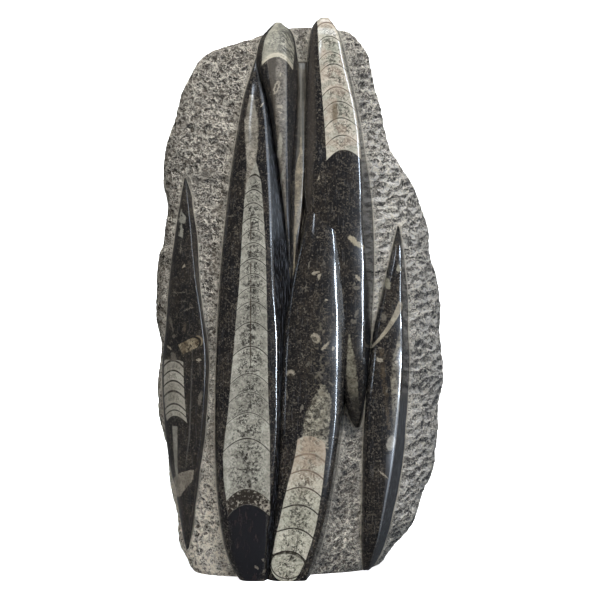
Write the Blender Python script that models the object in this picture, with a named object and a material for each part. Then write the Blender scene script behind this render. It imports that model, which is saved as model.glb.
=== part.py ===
"""Orthoceras fossil block: one dark limestone, its rough face carved into polished ridges along the shells.

The stone stands on a sawn base. X is its width, Y its depth (the carved face looks along -Y), Z its height.
All sizes below are millimetres.
"""

import math
import random

import bmesh
import bpy
from mathutils import Vector

MM = 0.001

# The rough stone seen from the front: height, then where its left and right edges lie.
LEFT_EDGE = [
    (0, -72), (5, -75), (13, -79.5), (20, -82), (30, -82), (40, -83), (58, -86.5), (75, -91), (110, -95),
    (125, -96.5), (155, -95.5), (184, -98), (200, -97), (214, -95), (222, -91.5), (240, -91), (260, -93),
    (280, -91), (294, -88), (310, -83.5), (326, -77), (335, -73), (342, -69.5), (347, -65), (350, -61),
    (353, -54), (357, -41), (361, -29), (364, -22), (367, -10),
]
RIGHT_EDGE = [
    (0, 48.5), (3, 54), (8, 59), (15, 65), (20, 70), (30, 76.5), (40, 81.5), (52, 87), (67, 91.5), (80, 93),
    (98, 95), (131, 98), (140, 99.5), (148, 99), (162, 96.5), (172, 97), (192, 94), (213, 91.5), (231, 88.5),
    (245, 83), (261, 77.5), (276, 69), (285, 63.5), (295, 59.5), (311, 55), (327, 51.5), (342, 48), (350, 46),
    (356, 42), (362, 37.5), (366, 32), (367, 24),
]

# How far the rough stone stands forward of its middle plane: height, place of its fullest point, then the
# depth there, at the left edge, at the right edge, and of the back.
DEPTHS = [
    (0, -25, 31, 0, 0, -40),
    (40, -25, 31, -4, -8, -42),
    (110, -22, 30, -10, -18, -42),
    (182, -20, 28, -10, -20, -42),
    (250, -15, 22, -8, -18, -39),
    (310, -5, 15, -6, -12, -34),
    (345, 0, 10, -4, -8, -28),
    (358, 3, 7, -4, -7, -22),
    (367, 5, 1, -6, -8, -15),
]
LEFT_FULLNESS = 2.2
RIGHT_FULLNESS = 1.5
BACK_FULLNESS = 2.6

# The polished ridges: height, left foot, right foot, and how far the crest stands out of the rough stone.
RIDGES = {
    "left_long": [
        (0, -46, -18, 14), (25, -52, -15.5, 15), (60, -55, -11.5, 15), (105, -56, -9.5, 15), (150, -55, -8.5, 15),
        (200, -52.5, -5, 15), (240, -49, -8, 14), (280, -44, -13.5, 13), (318, -37.5, -19, 10),
        (332, -33.5, -24.5, 7), (340, -31, -27, 4), (345, -29.5, -28, 1),
    ],
    "top_short": [
        (200, -7, -5, 1), (225, -9, -5, 6), (250, -11.5, -4.5, 10), (278, -15.5, -3, 13), (300, -19, -1.5, 15),
        (320, -23, -0.5, 16), (340, -29, -1, 16), (352, -28, -2.5, 15), (360, -25.5, -4, 13),
        (365.5, -22, -6.5, 10), (369, -17.5, -11, 5),
    ],
    "valley_rib": [
        (184, -5.5, -2.5, 1), (205, -6.5, -0.5, 5), (230, -6.5, 1.5, 6), (258, -6.5, 5, 7), (285, -4.5, 6, 6),
        (315, -2, 6.5, 5), (334, -2, 6.5, 4), (342, -1.5, 5.5, 1),
    ],
    "right_long": [
        (97, 37, 40, 1), (105, 32.5, 42.5, 8), (125, 27, 45, 15), (160, 20, 48, 19), (200, 13, 50, 20),
        (225, 6, 50, 20.5), (250, 2.5, 48.5, 21), (285, 2.5, 44, 20), (315, 3.5, 38.5, 19), (340, 4.5, 33, 18),
        (355, 6, 29.5, 17), (364, 7.5, 26.5, 15), (369.5, 10, 24.5, 11), (372, 13, 21.5, 6),
    ],
    "centre": [
        (0, -21.5, 7, 16), (25, -18, 16, 17), (55, -15, 22, 18), (85, -13.5, 27, 18), (120, -12.5, 30.5, 18),
        (160, -10.5, 31.5, 19), (190, -6, 29, 19), (215, -1.5, 26, 20), (235, 1.5, 24.5, 20.5),
        (250, 3.5, 23, 19.5), (265, 8, 19, 12),
    ],
    "left_leaf": [
        (14, -75.5, -74.5, 0.5), (25, -78.5, -72.5, 4), (45, -82.5, -69.5, 7), (75, -88.5, -65, 9),
        (105, -92, -61.5, 10), (140, -93, -60, 10), (165, -90, -62.5, 10), (195, -87.5, -66.5, 9.5),
        (225, -84, -68.5, 8), (250, -80, -72, 5), (264, -77.5, -76.5, 0.5),
    ],
    "right_leaf": [
        (0, 42.5, 49, 4), (10, 41.5, 54.5, 7), (25, 41, 59.5, 10), (50, 41.5, 66, 12), (80, 42, 70.5, 13),
        (110, 43.5, 73, 13), (140, 46.5, 74.5, 13), (165, 50, 74, 12), (190, 56, 73, 11), (215, 62, 70.5, 7),
        (233, 66.5, 68, 0.5),
    ],
}
RIDGE_SQUARENESS = 2.9
RIDGE_ROOT = 7
ROOT_INSET = 0.03

# How finely the surfaces are faceted. The rows of the block gather towards its thin top.
STONE_ROWS = 48
ROW_GATHER = 1.3
FRONT_STEPS = 30
BACK_STEPS = 22
ARCH_FINENESS = 24
RIDGE_ROW = 12
RIDGE_STEPS = 12

# The chisel's work: depth of a stroke, how far a facet's corners stray, and the stone's slow swells, each
# with its run across the stone (radians a centimetre) and its height. It fades out over the last of the top.
CHISEL_DEPTH = 1.4
GRIT = 0.9
SWELLS = [((0.5, 0.9, 1.1), 0.8), ((-1.3, 0.4, 0.7), 0.6), ((1.1, -0.8, 1.9), 0.5)]
SEED = 11
TOP_FADE = 40

WELD = 0.01
SHARP_ANGLE = 32

STONE_COLOUR = (0.055, 0.053, 0.05, 1)
STONE_ROUGHNESS = 0.6


def clear_scene():
    for thing in list(bpy.data.objects):
        bpy.data.objects.remove(thing, do_unlink=True)


def along(table, z):
    """The table's values at height z, on a smooth curve through its rows."""
    last = len(table) - 2
    i = max(0, min(last, sum(row[0] <= z for row in table) - 1))
    low, high = table[i], table[i + 1]
    before, after = table[max(i - 1, 0)], table[min(i + 2, last + 1)]
    span = high[0] - low[0]
    t = min(max((z - low[0]) / span, 0), 1)
    values = []
    for k in range(1, len(low)):
        slope_low = (high[k] - before[k]) / (high[0] - before[0]) * span
        slope_high = (after[k] - low[k]) / (after[0] - low[0]) * span
        rise = high[k] - low[k]
        values.append(
            low[k]
            + slope_low * t
            + (3 * rise - 2 * slope_low - slope_high) * t**2
            + (slope_low + slope_high - 2 * rise) * t**3
        )
    return values


def arch(u, fullness):
    """1 in the middle of an arch (u = 0), 0 at its foot (u = 1); a fuller arch has a flatter top."""
    return max(0, 1 - min(abs(u), 1) ** fullness) ** (1 / fullness)


def stone_front(x, z):
    """How far the rough stone stands forward at (x, z)."""
    (left,), (right,) = along(LEFT_EDGE, z), along(RIGHT_EDGE, z)
    full_x, front, at_left, at_right, _ = along(DEPTHS, z)
    if x < full_x:
        return at_left + (front - at_left) * arch((full_x - x) / (full_x - left), LEFT_FULLNESS)
    return at_right + (front - at_right) * arch((x - full_x) / (right - full_x), RIGHT_FULLNESS)


def half_arch(left_foot, top, right_foot, left_fullness, right_fullness):
    """A fine path of (x, depth) points from the left foot over the top to the right foot."""
    path = []
    for k in range(2 * ARCH_FINENESS + 1):
        turn = math.pi / 2 * k / ARCH_FINENESS
        foot, fullness = (left_foot, left_fullness) if k <= ARCH_FINENESS else (right_foot, right_fullness)
        across = abs(math.cos(turn)) ** (2 / fullness)
        up = abs(math.sin(turn)) ** (2 / fullness)
        path.append((top[0] + (foot[0] - top[0]) * across, foot[1] + (top[1] - foot[1]) * up))
    return path


def evenly(path, steps):
    """Points at equal steps along a path, its far end left out."""
    reach = [0]
    for (x0, d0), (x1, d1) in zip(path, path[1:]):
        reach.append(reach[-1] + math.hypot(x1 - x0, d1 - d0))
    points = []
    leg = 0
    for k in range(steps):
        wanted = reach[-1] * k / steps
        while reach[leg + 1] < wanted:
            leg += 1
        share = (wanted - reach[leg]) / (reach[leg + 1] - reach[leg])
        (x0, d0), (x1, d1) = path[leg], path[leg + 1]
        points.append((x0 + (x1 - x0) * share, d0 + (d1 - d0) * share))
    return points


def stone_section(z):
    """The rough stone's outline at height z, from its left edge over the front and round the back."""
    (left,), (right,) = along(LEFT_EDGE, z), along(RIGHT_EDGE, z)
    full_x, front, at_left, at_right, back = along(DEPTHS, z)
    left_foot, right_foot = (left, at_left), (right, at_right)
    over = half_arch(left_foot, (full_x, front), right_foot, LEFT_FULLNESS, RIGHT_FULLNESS)
    behind = half_arch(left_foot, ((left + right) / 2, back), right_foot, BACK_FULLNESS, BACK_FULLNESS)
    return evenly(over, FRONT_STEPS) + evenly(behind[::-1], BACK_STEPS)


def swell(point):
    """The stone's own slow swells, a few crossing waves."""
    return sum(height * math.sin(point.dot(Vector(run)) / 10) for run, height in SWELLS)


def chiselled(point, outward, top, rng):
    """A surface point moved by the chisel's strokes and by the stone's swells, less so at the thin top."""
    strength = min(1, (top - point.z) / TOP_FADE)
    grit = Vector([rng.uniform(-GRIT, GRIT) for _ in range(3)])
    if point.z == 0:
        grit.z = 0
    stroke = rng.uniform(-CHISEL_DEPTH, CHISEL_DEPTH)
    return point + (outward * (stroke + swell(point)) + grit) * strength


def loft(name, rings):
    """A closed body over rings of points, each ring with the same number of points."""
    bm = bmesh.new()
    rows = [[bm.verts.new(point * MM) for point in ring] for ring in rings]
    for low, high in zip(rows, rows[1:]):
        for i in range(len(low)):
            j = (i + 1) % len(low)
            bm.faces.new((low[i], low[j], high[j], high[i]))
    bm.faces.new(rows[0][::-1])
    bm.faces.new(rows[-1])
    bmesh.ops.triangulate(bm, faces=bm.faces[:])
    bmesh.ops.recalc_face_normals(bm, faces=bm.faces[:])
    mesh = bpy.data.meshes.new(name)
    bm.to_mesh(mesh)
    bm.free()
    return bpy.data.objects.new(name, mesh)


def rough_stone():
    """The whole stone before its ridges: a rough block, flat underneath and closing in at its top."""
    top = LEFT_EDGE[-1][0]
    rng = random.Random(SEED)
    rings = []
    for row in range(STONE_ROWS + 1):
        z = top * (1 - (1 - row / STONE_ROWS) ** ROW_GATHER)
        section = stone_section(z)
        count = len(section)
        ring = []
        for i, (x, depth) in enumerate(section):
            (x0, d0), (x1, d1) = section[i - 1], section[(i + 1) % count]
            outward = Vector((d0 - d1, x0 - x1, 0)).normalized()
            ring.append(chiselled(Vector((x, -depth, z)), outward, top, rng))
        rings.append(ring)
    return loft("rough_block", rings)


def ridge(name, table):
    """One polished ridge: an arch over two feet on the rough stone, rooted inside it."""
    low, high = table[0][0], table[-1][0]
    rows = math.ceil((high - low) / RIDGE_ROW)
    even = [low + (high - low) * k / rows for k in range(rows + 1)]
    heights = sorted({*even, table[1][0], table[-2][0]})
    rings = []
    for z in heights:
        left, right, rise = along(table, z)
        middle, half = (left + right) / 2, (right - left) / 2
        left_depth, right_depth = stone_front(left, z), stone_front(right, z)
        ring = []
        for k in range(RIDGE_STEPS + 1):
            turn = math.pi * (1 - k / RIDGE_STEPS)
            across = math.copysign(abs(math.cos(turn)) ** (2 / RIDGE_SQUARENESS), math.cos(turn))
            up = max(math.sin(turn), 0) ** (2 / RIDGE_SQUARENESS)
            foot = left_depth + (right_depth - left_depth) * (across + 1) / 2
            ring.append(Vector((middle + half * across, -(foot + rise * up), z)))
        inset = 2 * half * ROOT_INSET
        ring.append(Vector((right - inset, -(right_depth - RIDGE_ROOT), z)))
        ring.append(Vector((left + inset, -(left_depth - RIDGE_ROOT), z)))
        rings.append(ring)
    return loft(name, rings)


def carve(stone, ridges):
    """One solid of the block and its ridges."""
    for part in ridges:
        join = stone.modifiers.new(part.name, "BOOLEAN")
        join.operation = "UNION"
        join.solver = "EXACT"
        join.object = part
    solid = bpy.data.meshes.new_from_object(stone.evaluated_get(bpy.context.evaluated_depsgraph_get()))
    bm = bmesh.new()
    bm.from_mesh(solid)
    bmesh.ops.remove_doubles(bm, verts=bm.verts[:], dist=WELD * MM)
    bmesh.ops.dissolve_degenerate(bm, edges=bm.edges[:], dist=WELD * MM)
    bmesh.ops.triangulate(bm, faces=bm.faces[:])
    bm.to_mesh(solid)
    bm.free()
    solid.shade_smooth()
    solid.set_sharp_from_angle(angle=math.radians(SHARP_ANGLE))
    return solid


def centre_on_base(mesh):
    """Puts the middle of the box's lower face at the origin."""
    xs = [v.co.x for v in mesh.vertices]
    ys = [v.co.y for v in mesh.vertices]
    lowest = min(v.co.z for v in mesh.vertices)
    shift = Vector(((min(xs) + max(xs)) / 2, (min(ys) + max(ys)) / 2, lowest))
    for v in mesh.vertices:
        v.co -= shift


def limestone():
    material = bpy.data.materials.new("dark_limestone")
    material.use_nodes = True
    shader = material.node_tree.nodes["Principled BSDF"]
    shader.inputs["Base Color"].default_value = STONE_COLOUR
    shader.inputs["Roughness"].default_value = STONE_ROUGHNESS
    shader.inputs["Metallic"].default_value = 0
    return material


def main():
    clear_scene()
    parts = bpy.data.collections.new("orthoceras_fossil")
    tools = bpy.data.collections.new("shapes_joined")
    for group in (parts, tools):
        bpy.context.scene.collection.children.link(group)
    block = rough_stone()
    ridges = [ridge(name, table) for name, table in RIDGES.items()]
    for shape in [block, *ridges]:
        shape.hide_render = True
        shape.display_type = "WIRE"
        tools.objects.link(shape)
    bpy.context.view_layer.update()
    solid = carve(block, ridges)
    block.modifiers.clear()
    solid.name = "fossil_stone"
    centre_on_base(solid)
    solid.materials.clear()
    solid.materials.append(limestone())
    parts.objects.link(bpy.data.objects.new("fossil_stone", solid))


main()
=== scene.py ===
# %% [markdown]
# # An orthoceras fossil block
# The object is one upright block of dark limestone, 372 mm tall. Its front is carved into
# tall blades, ground and polished along straight, chambered shells. Between and around the blades the stone
# is left as the point chisel left it. Everything is one piece of stone, so the lesson makes one mesh:
# a rough block, the polished ridges, and a join between them, then the finishes of each.

import math

import bmesh
import bpy
import numpy as np
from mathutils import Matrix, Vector


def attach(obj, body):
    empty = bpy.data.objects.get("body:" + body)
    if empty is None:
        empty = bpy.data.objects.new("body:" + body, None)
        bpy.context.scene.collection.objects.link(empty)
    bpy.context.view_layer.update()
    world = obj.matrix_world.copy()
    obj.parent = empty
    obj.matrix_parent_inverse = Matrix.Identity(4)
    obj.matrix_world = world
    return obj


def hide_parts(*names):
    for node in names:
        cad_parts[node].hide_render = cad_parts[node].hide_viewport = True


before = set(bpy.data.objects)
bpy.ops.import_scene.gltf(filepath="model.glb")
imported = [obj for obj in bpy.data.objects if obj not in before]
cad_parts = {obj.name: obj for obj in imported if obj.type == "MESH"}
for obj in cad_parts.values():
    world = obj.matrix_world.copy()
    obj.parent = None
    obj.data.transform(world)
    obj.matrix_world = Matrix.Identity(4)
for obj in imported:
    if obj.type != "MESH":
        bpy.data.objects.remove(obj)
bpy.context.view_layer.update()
MM = 0.001

# %% [markdown]
# ## The camera
# The block is seen from straight in front, at about half its height, from less than a metre away.
# A camera this near shows the foot of the blades lower than the block's own edge, because they stand
# nearer. The lens follows from the width that the view takes in at the block's middle plane.

# %% Camera
CAMERA_DISTANCE = 900
CAMERA_HEIGHT = 182
CAMERA_ASIDE = -1
VIEW_WIDTH = 408
SENSOR = 36

camera_data = bpy.data.cameras.new("camera")
camera_data.sensor_width = SENSOR
camera_data.lens = SENSOR * CAMERA_DISTANCE / VIEW_WIDTH
camera_data.clip_start = 0.01
camera = bpy.data.objects.new("camera", camera_data)
camera.location = Vector((CAMERA_ASIDE, -CAMERA_DISTANCE, CAMERA_HEIGHT)) * MM
camera.rotation_euler = (math.radians(90), 0, 0)
bpy.context.scene.collection.objects.link(camera)
bpy.context.scene.camera = camera
print("lens in mm:", round(camera_data.lens, 1))

# %% [markdown]
# ## The block's measures
# A natural outline follows no rule, so its left and right edges are short lists of heights and distances,
# joined by a smooth curve. A second list says how far the stone stands forward of its middle plane: at its
# fullest point, at both edges, and at the back. X is the width, Z the height, and the carved face looks
# along -Y. All lengths are millimetres.

# %% Outline and depth of the rough stone
LEFT_EDGE = [
    (0, -72), (5, -75), (13, -79.5), (20, -82), (30, -82), (40, -83), (58, -86.5), (75, -91), (110, -95),
    (125, -96.5), (155, -95.5), (184, -98), (200, -97), (214, -95), (222, -91.5), (240, -91), (260, -93),
    (280, -91), (294, -88), (310, -83.5), (326, -77), (335, -73), (342, -69.5), (347, -65), (350, -61),
    (353, -54), (357, -41), (361, -29), (364, -22), (367, -10),
]
RIGHT_EDGE = [
    (0, 48.5), (3, 54), (8, 59), (15, 65), (20, 70), (30, 76.5), (40, 81.5), (52, 87), (67, 91.5), (80, 93),
    (98, 95), (131, 98), (140, 99.5), (148, 99), (162, 96.5), (172, 97), (192, 94), (213, 91.5), (231, 88.5),
    (245, 83), (261, 77.5), (276, 69), (285, 63.5), (295, 59.5), (311, 55), (327, 51.5), (342, 48), (350, 46),
    (356, 42), (362, 37.5), (366, 32), (367, 24),
]
# Height, place of the fullest point, then the depth there, at the left edge, the right edge and the back.
DEPTHS = [
    (0, -25, 31, 0, 0, -40),
    (40, -25, 31, -4, -8, -42),
    (110, -22, 30, -10, -18, -42),
    (182, -20, 28, -10, -20, -42),
    (250, -15, 22, -8, -18, -39),
    (310, -5, 15, -6, -12, -34),
    (345, 0, 10, -4, -8, -28),
    (358, 3, 7, -4, -7, -22),
    (367, 5, 1, -6, -8, -15),
]
LEFT_FULLNESS = 2.2
RIGHT_FULLNESS = 1.5
BACK_FULLNESS = 2.6


def along(table, z):
    """The table's values at height z, on a smooth curve through its rows."""
    last = len(table) - 2
    i = max(0, min(last, sum(row[0] <= z for row in table) - 1))
    low, high = np.array(table[i], float), np.array(table[i + 1], float)
    before, after = np.array(table[max(i - 1, 0)]), np.array(table[min(i + 2, last + 1)])
    span = high[0] - low[0]
    t = min(max((z - low[0]) / span, 0), 1)
    slope_low = (high - before)[1:] / (high - before)[0] * span
    slope_high = (after - low)[1:] / (after - low)[0] * span
    rise = (high - low)[1:]
    bend = 3 * rise - 2 * slope_low - slope_high
    return low[1:] + slope_low * t + bend * t**2 + (slope_low + slope_high - 2 * rise) * t**3


def arch(u, fullness):
    """1 in the middle of an arch (u = 0), 0 at its foot (u = 1); a fuller arch has a flatter top."""
    return np.maximum(0, 1 - np.minimum(np.abs(u), 1) ** fullness) ** (1 / fullness)


def stone_front(x, z):
    """How far the rough stone stands forward at (x, z)."""
    left, right = along(LEFT_EDGE, z)[0], along(RIGHT_EDGE, z)[0]
    full_x, front, at_left, at_right, _ = along(DEPTHS, z)
    if x < full_x:
        return at_left + (front - at_left) * arch((full_x - x) / (full_x - left), LEFT_FULLNESS)
    return at_right + (front - at_right) * arch((x - full_x) / (right - full_x), RIGHT_FULLNESS)


width = float(along(RIGHT_EDGE, CAMERA_HEIGHT)[0] - along(LEFT_EDGE, CAMERA_HEIGHT)[0])
print("width at the camera's height in mm:", round(width, 1))

# %% [markdown]
# ## The rough block
# The block is a loft: one closed section for each height, all with the same number of points, skinned with
# four-sided faces. A voxel sculpt could give the same lump, but a loft keeps the faces where they are needed:
# close together on the front, wider on the back. Rows gather towards the thin top, where the outline
# runs nearly level. The slow swells are crossing waves, each with its run across the stone in radians a
# centimetre and its height in millimetres.

# %% Loft of the rough block
STONE_ROWS = 306
ROW_GATHER = 1.22
ARCH_POINTS = 241
FRONT_STEPS = 208
BACK_STEPS = 112
SWELLS = [((0.5, 0.9, 1.1), 0.8), ((-1.3, 0.4, 0.7), 0.6), ((1.1, -0.8, 1.9), 0.5)]
TOP_FADE = 40


def arch_path(feet, top, left_fullness, right_fullness):
    """A fine path of (x, depth) points from the left foot over the top to the right foot."""
    turn = np.linspace(0, math.pi, ARCH_POINTS)
    before_top = turn <= math.pi / 2
    fullness = np.where(before_top, left_fullness, right_fullness)
    foot_x, foot_depth = np.where(before_top[:, None], *feet).T
    across = np.abs(np.cos(turn)) ** (2 / fullness)
    up = np.abs(np.sin(turn)) ** (2 / fullness)
    return np.stack([top[0] + (foot_x - top[0]) * across, foot_depth + (top[1] - foot_depth) * up], axis=1)


def evenly(path, steps):
    """Points at equal steps along a path, its far end left out."""
    legs = np.hypot(*np.diff(path, axis=0).T)
    reach = np.concatenate([[0], np.cumsum(legs)])
    wanted = np.linspace(0, reach[-1], steps, endpoint=False)
    return np.stack([np.interp(wanted, reach, path[:, k]) for k in range(2)], axis=1)


def stone_section(z):
    """The rough stone's outline at height z, from its left edge over the front and round the back."""
    left, right = along(LEFT_EDGE, z)[0], along(RIGHT_EDGE, z)[0]
    full_x, front, at_left, at_right, back = along(DEPTHS, z)
    feet = (left, at_left), (right, at_right)
    over = arch_path(feet, (full_x, front), LEFT_FULLNESS, RIGHT_FULLNESS)
    behind = arch_path(feet, ((left + right) / 2, back), BACK_FULLNESS, BACK_FULLNESS)
    section = np.concatenate([evenly(over, FRONT_STEPS), evenly(behind[::-1], BACK_STEPS)])
    return np.column_stack([section[:, 0], -section[:, 1], np.full(len(section), z)])


def swollen(ring, top):
    """The ring pushed in and out by the stone's slow swells, less so at the thin top."""
    run = np.roll(ring, -1, axis=0) - np.roll(ring, 1, axis=0)
    outward = np.column_stack([run[:, 1], -run[:, 0], np.zeros(len(ring))])
    outward /= np.linalg.norm(outward, axis=1)[:, None]
    push = sum(height * np.sin(ring @ np.array(waves) / 10) for waves, height in SWELLS)
    return ring + outward * push[:, None] * min(1, (top - ring[0, 2]) / TOP_FADE)


def loft(name, rings):
    """A closed body over rings of points, each ring with the same number of points."""
    rows, count = len(rings), len(rings[0])
    low = np.arange(rows - 1)[:, None] * count + np.arange(count)
    beside = np.arange(rows - 1)[:, None] * count + (np.arange(count) + 1) % count
    quads = np.stack([low, beside, beside + count, low + count], axis=2).reshape(-1, 4)
    caps = [list(range(count))[::-1], list(range((rows - 1) * count, rows * count))]
    mesh = bpy.data.meshes.new(name)
    mesh.from_pydata((np.concatenate(rings) * MM).tolist(), [], quads.tolist() + caps)
    shape = bmesh.new()
    shape.from_mesh(mesh)
    bmesh.ops.triangulate(shape, faces=[face for face in shape.faces if len(face.verts) > 4])
    bmesh.ops.recalc_face_normals(shape, faces=shape.faces[:])
    shape.to_mesh(mesh)
    shape.free()
    body = bpy.data.objects.new(name, mesh)
    bpy.context.scene.collection.objects.link(body)
    return body


top_height = LEFT_EDGE[-1][0]
share = np.linspace(0, 1, STONE_ROWS + 1)
heights = top_height * (1 - (1 - share) ** ROW_GATHER)
rough_block = loft("rough_block", [swollen(stone_section(z), top_height) for z in heights])
print("rough block:", len(rough_block.data.polygons), "faces")

# %% [markdown]
# ## The polished ridges
# Each blade is an arch that stands on two feet on the rough stone. Its list gives, for a few heights, the
# left foot, the right foot and how far the crest stands out. A squarish arch gives the broad polished top and
# the steep flanks that a grinding wheel leaves.

# %% Measures of the ridges
RIDGES = {
    "left_long": [
        (0, -40, -18, 14), (9, -45.5, -17.5, 14.5), (25, -50.5, -15.5, 15), (60, -55, -11.5, 15),
        (105, -56, -9.5, 15), (150, -55, -8.5, 15), (200, -52.5, -5, 15), (240, -49, -8, 14),
        (280, -44, -13.5, 13), (318, -37.5, -19, 10), (332, -33.5, -24.5, 7), (340, -31, -27, 4),
        (345, -29.5, -28, 1),
    ],
    "top_short": [
        (200, -7, -5, 1), (225, -9, -5, 6), (250, -11.5, -4.5, 10), (278, -15.5, -3, 13),
        (300, -19, -1.5, 15), (320, -23, -0.5, 16), (340, -29, -1, 16), (352, -28, -2.5, 15),
        (360, -25.5, -4, 13), (365.5, -22, -6.5, 13), (370, -17.5, -11, 10),
    ],
    "valley_rib": [
        (184, -5.5, -2.5, 1), (205, -6.5, -0.5, 5), (230, -6.5, 1.5, 6), (258, -6.5, 5, 7), (285, -4.5, 6, 6),
        (315, -2, 6.5, 5), (334, -2, 6.5, 4), (342, -1.5, 5.5, 1),
    ],
    "right_long": [
        (97, 37, 40, 1), (105, 32.5, 42.5, 8), (125, 27, 45, 15), (160, 20, 48, 19), (200, 13, 50, 20),
        (225, 6, 50, 20.5), (250, 2.5, 48.5, 21), (285, 2.5, 44, 20), (315, 3.5, 38.5, 19),
        (340, 4.5, 33, 18), (355, 6, 29.5, 17), (364, 7.5, 26.5, 16), (369.5, 10, 24.5, 14.5),
        (372, 13, 21.5, 12),
    ],
    "centre": [
        (0, -21.5, 7, 16), (25, -18, 16, 17), (55, -15, 22, 18), (85, -13.5, 27, 18), (120, -12.5, 30.5, 18),
        (160, -10.5, 31.5, 19), (190, -6, 29, 19), (215, -1, 26, 19.5), (235, 2.8, 24.5, 16.5),
        (250, 6, 23, 11), (265, 10, 19, 4),
    ],
    "left_leaf": [
        (14, -75.5, -74.5, 0.5), (25, -78.5, -72.5, 4), (45, -82.5, -69.5, 7), (75, -88.5, -65, 9),
        (105, -92, -61.5, 10), (140, -93, -60, 10), (165, -90, -62.5, 10), (195, -87.5, -66.5, 9.5),
        (225, -84, -68.5, 8), (250, -80, -72, 5), (264, -77.5, -76.5, 0.5),
    ],
    "right_leaf": [
        (0, 42.5, 49, 4), (10, 41.5, 54.5, 7), (25, 41, 59.5, 10), (50, 41.5, 66, 12), (80, 42, 70.5, 13),
        (110, 43.5, 73, 13), (140, 46.5, 74.5, 13), (165, 50, 74, 12), (190, 56, 73, 11), (215, 62, 70.5, 7),
        (233, 66.5, 68, 0.5),
    ],
}
print(len(RIDGES), "ridges, the tallest up to", max(rows[-1][0] for rows in RIDGES.values()), "mm")

# %% [markdown]
# ## The arris of each blade
# The arris is the edge where a blade's top turns down into its right flank. It catches the light, so it
# shapes the look of a blade more than anything else. Each list gives its X at a few heights. Where a narrow
# bevel is ground along it, a second X is the bevel's outer edge.

# %% Places of the arrises
ARRISES = {
    "left_long": [
        (0, -23), (30, -21.5), (60, -18), (91, -15), (130, -14.5), (156, -14.6), (188, -16.9), (205, -17.9),
        (250, -19), (300, -22), (345, -29, -28.6),
    ],
    "top_short": [(200, -5.6), (250, -7.2), (300, -8), (340, -8.5), (360, -9.8), (370, -12.5)],
    "valley_rib": [(184, -3.3), (258, 2.5), (315, 4.5), (342, 4)],
    "right_long": [
        (97, 38.7, 39), (125, 41.5), (160, 42), (188, 42.1), (210, 42.2), (234, 40.6), (260, 40.5),
        (300, 38.2), (340, 29.5), (360, 25.5), (372, 19.5),
    ],
    "centre": [
        (0, 3, 4), (40, 13.5, 16), (85, 21, 24), (120, 24, 28), (155, 24.6, 29.6), (184, 23.9, 29.2),
        (205, 23.2, 26.8), (230, 21.2, 24.3), (265, 14, 16),
    ],
    "left_leaf": [(14, -74.8), (45, -71), (105, -63.5), (150, -62), (200, -69), (264, -76.7)],
    "right_leaf": [
        (0, 46.5), (25, 53), (80, 63), (125, 67.5), (155, 68.5), (178, 68), (215, 68.5), (233, 67.5),
    ],
}
for name, rows in ARRISES.items():
    ARRISES[name] = [(row[0], row[1], row[-1]) for row in rows]
    print(name, "arris rises over", rows[-1][0] - rows[0][0], "mm")

# %% [markdown]
# ## The blade's skin
# A section is worked out as depths over X: a swelling left side, a nearly flat top, then the bevel and the
# flank as two planes. Where two of these meet, the lower one wins and the corner is rounded a little.
# Points crowd at the arris, so that its rounding stays smooth. The foot of each blade goes a few millimetres
# into the rough block, so that the two overlap when they are joined.

# %% Loft of each ridge
RIDGE_SQUARENESS = 2.9
RIDGE_ROOT = 7
ROOT_END = 375
ROOT_FADE = 12
ROOT_INSET = 0.03
RIDGE_ROW = 2
TOP_STEPS = 22
FLANK_STEPS = 6
NARROW = 20
ARRIS_STEPS = (-1.6, -0.9, -0.45, -0.15, 0.15, 0.45, 0.9, 1.6)
ARRIS_ROUNDING = 0.75
CROWN_DROP = 0.1
BEVEL_SLOPE = 0.45
BEVEL_LEAST = 0.5
CORNER_REACH = 2
FLANK_LEAST = 1.2
POLISH_WAVE = 0.1
FULL_WAVE_RISE = 8


def ridge_depth(x, z, feet, arris):
    """Depth of a ridge's polished face at each x, with very slight waves, as hand polish has."""
    left, right, left_depth, right_depth, rise = feet
    first, second = arris
    middle = (left + first) / 2
    tilt = (right_depth - left_depth) / (right - left)
    crest = left_depth + tilt * (middle - left) + rise + max(tilt, 0) * (x - middle)
    u = (x - middle) / (middle - left)
    swell = left_depth + (crest - left_depth) * arch(np.minimum(u, 0), RIDGE_SQUARENESS)
    top = crest - CROWN_DROP * (first - middle) * np.maximum(u, 0) ** 2
    wave = POLISH_WAVE * (np.sin(z / 11 + 2 * u) + np.sin(z / 5.3 - 3 * u) / 2)
    depth = np.where(u < 0, swell, top) + wave * min(1, rise / FULL_WAVE_RISE) * arch(u, 2)
    edge_depth = np.interp(first, x, crest) - CROWN_DROP * (first - middle)
    fall_before = 2 * CROWN_DROP
    for edge, beyond, fall in ((first, second, BEVEL_SLOPE), (second, right, None)):
        if beyond - edge < BEVEL_LEAST and fall:
            continue
        slope = fall or (edge_depth - right_depth) / max(right - edge, 0.1)
        plane = edge_depth - slope * (x - edge)
        reach = ARRIS_ROUNDING * max(slope - fall_before, 0.05)
        gap = np.clip(1 - np.abs(plane - depth) / reach, 0, 1)
        depth = np.where(x < edge - CORNER_REACH, depth, np.minimum(depth, plane) - reach * gap**2 / 4)
        fall_before = slope
        edge_depth -= slope * (beyond - edge)
    return depth


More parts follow.
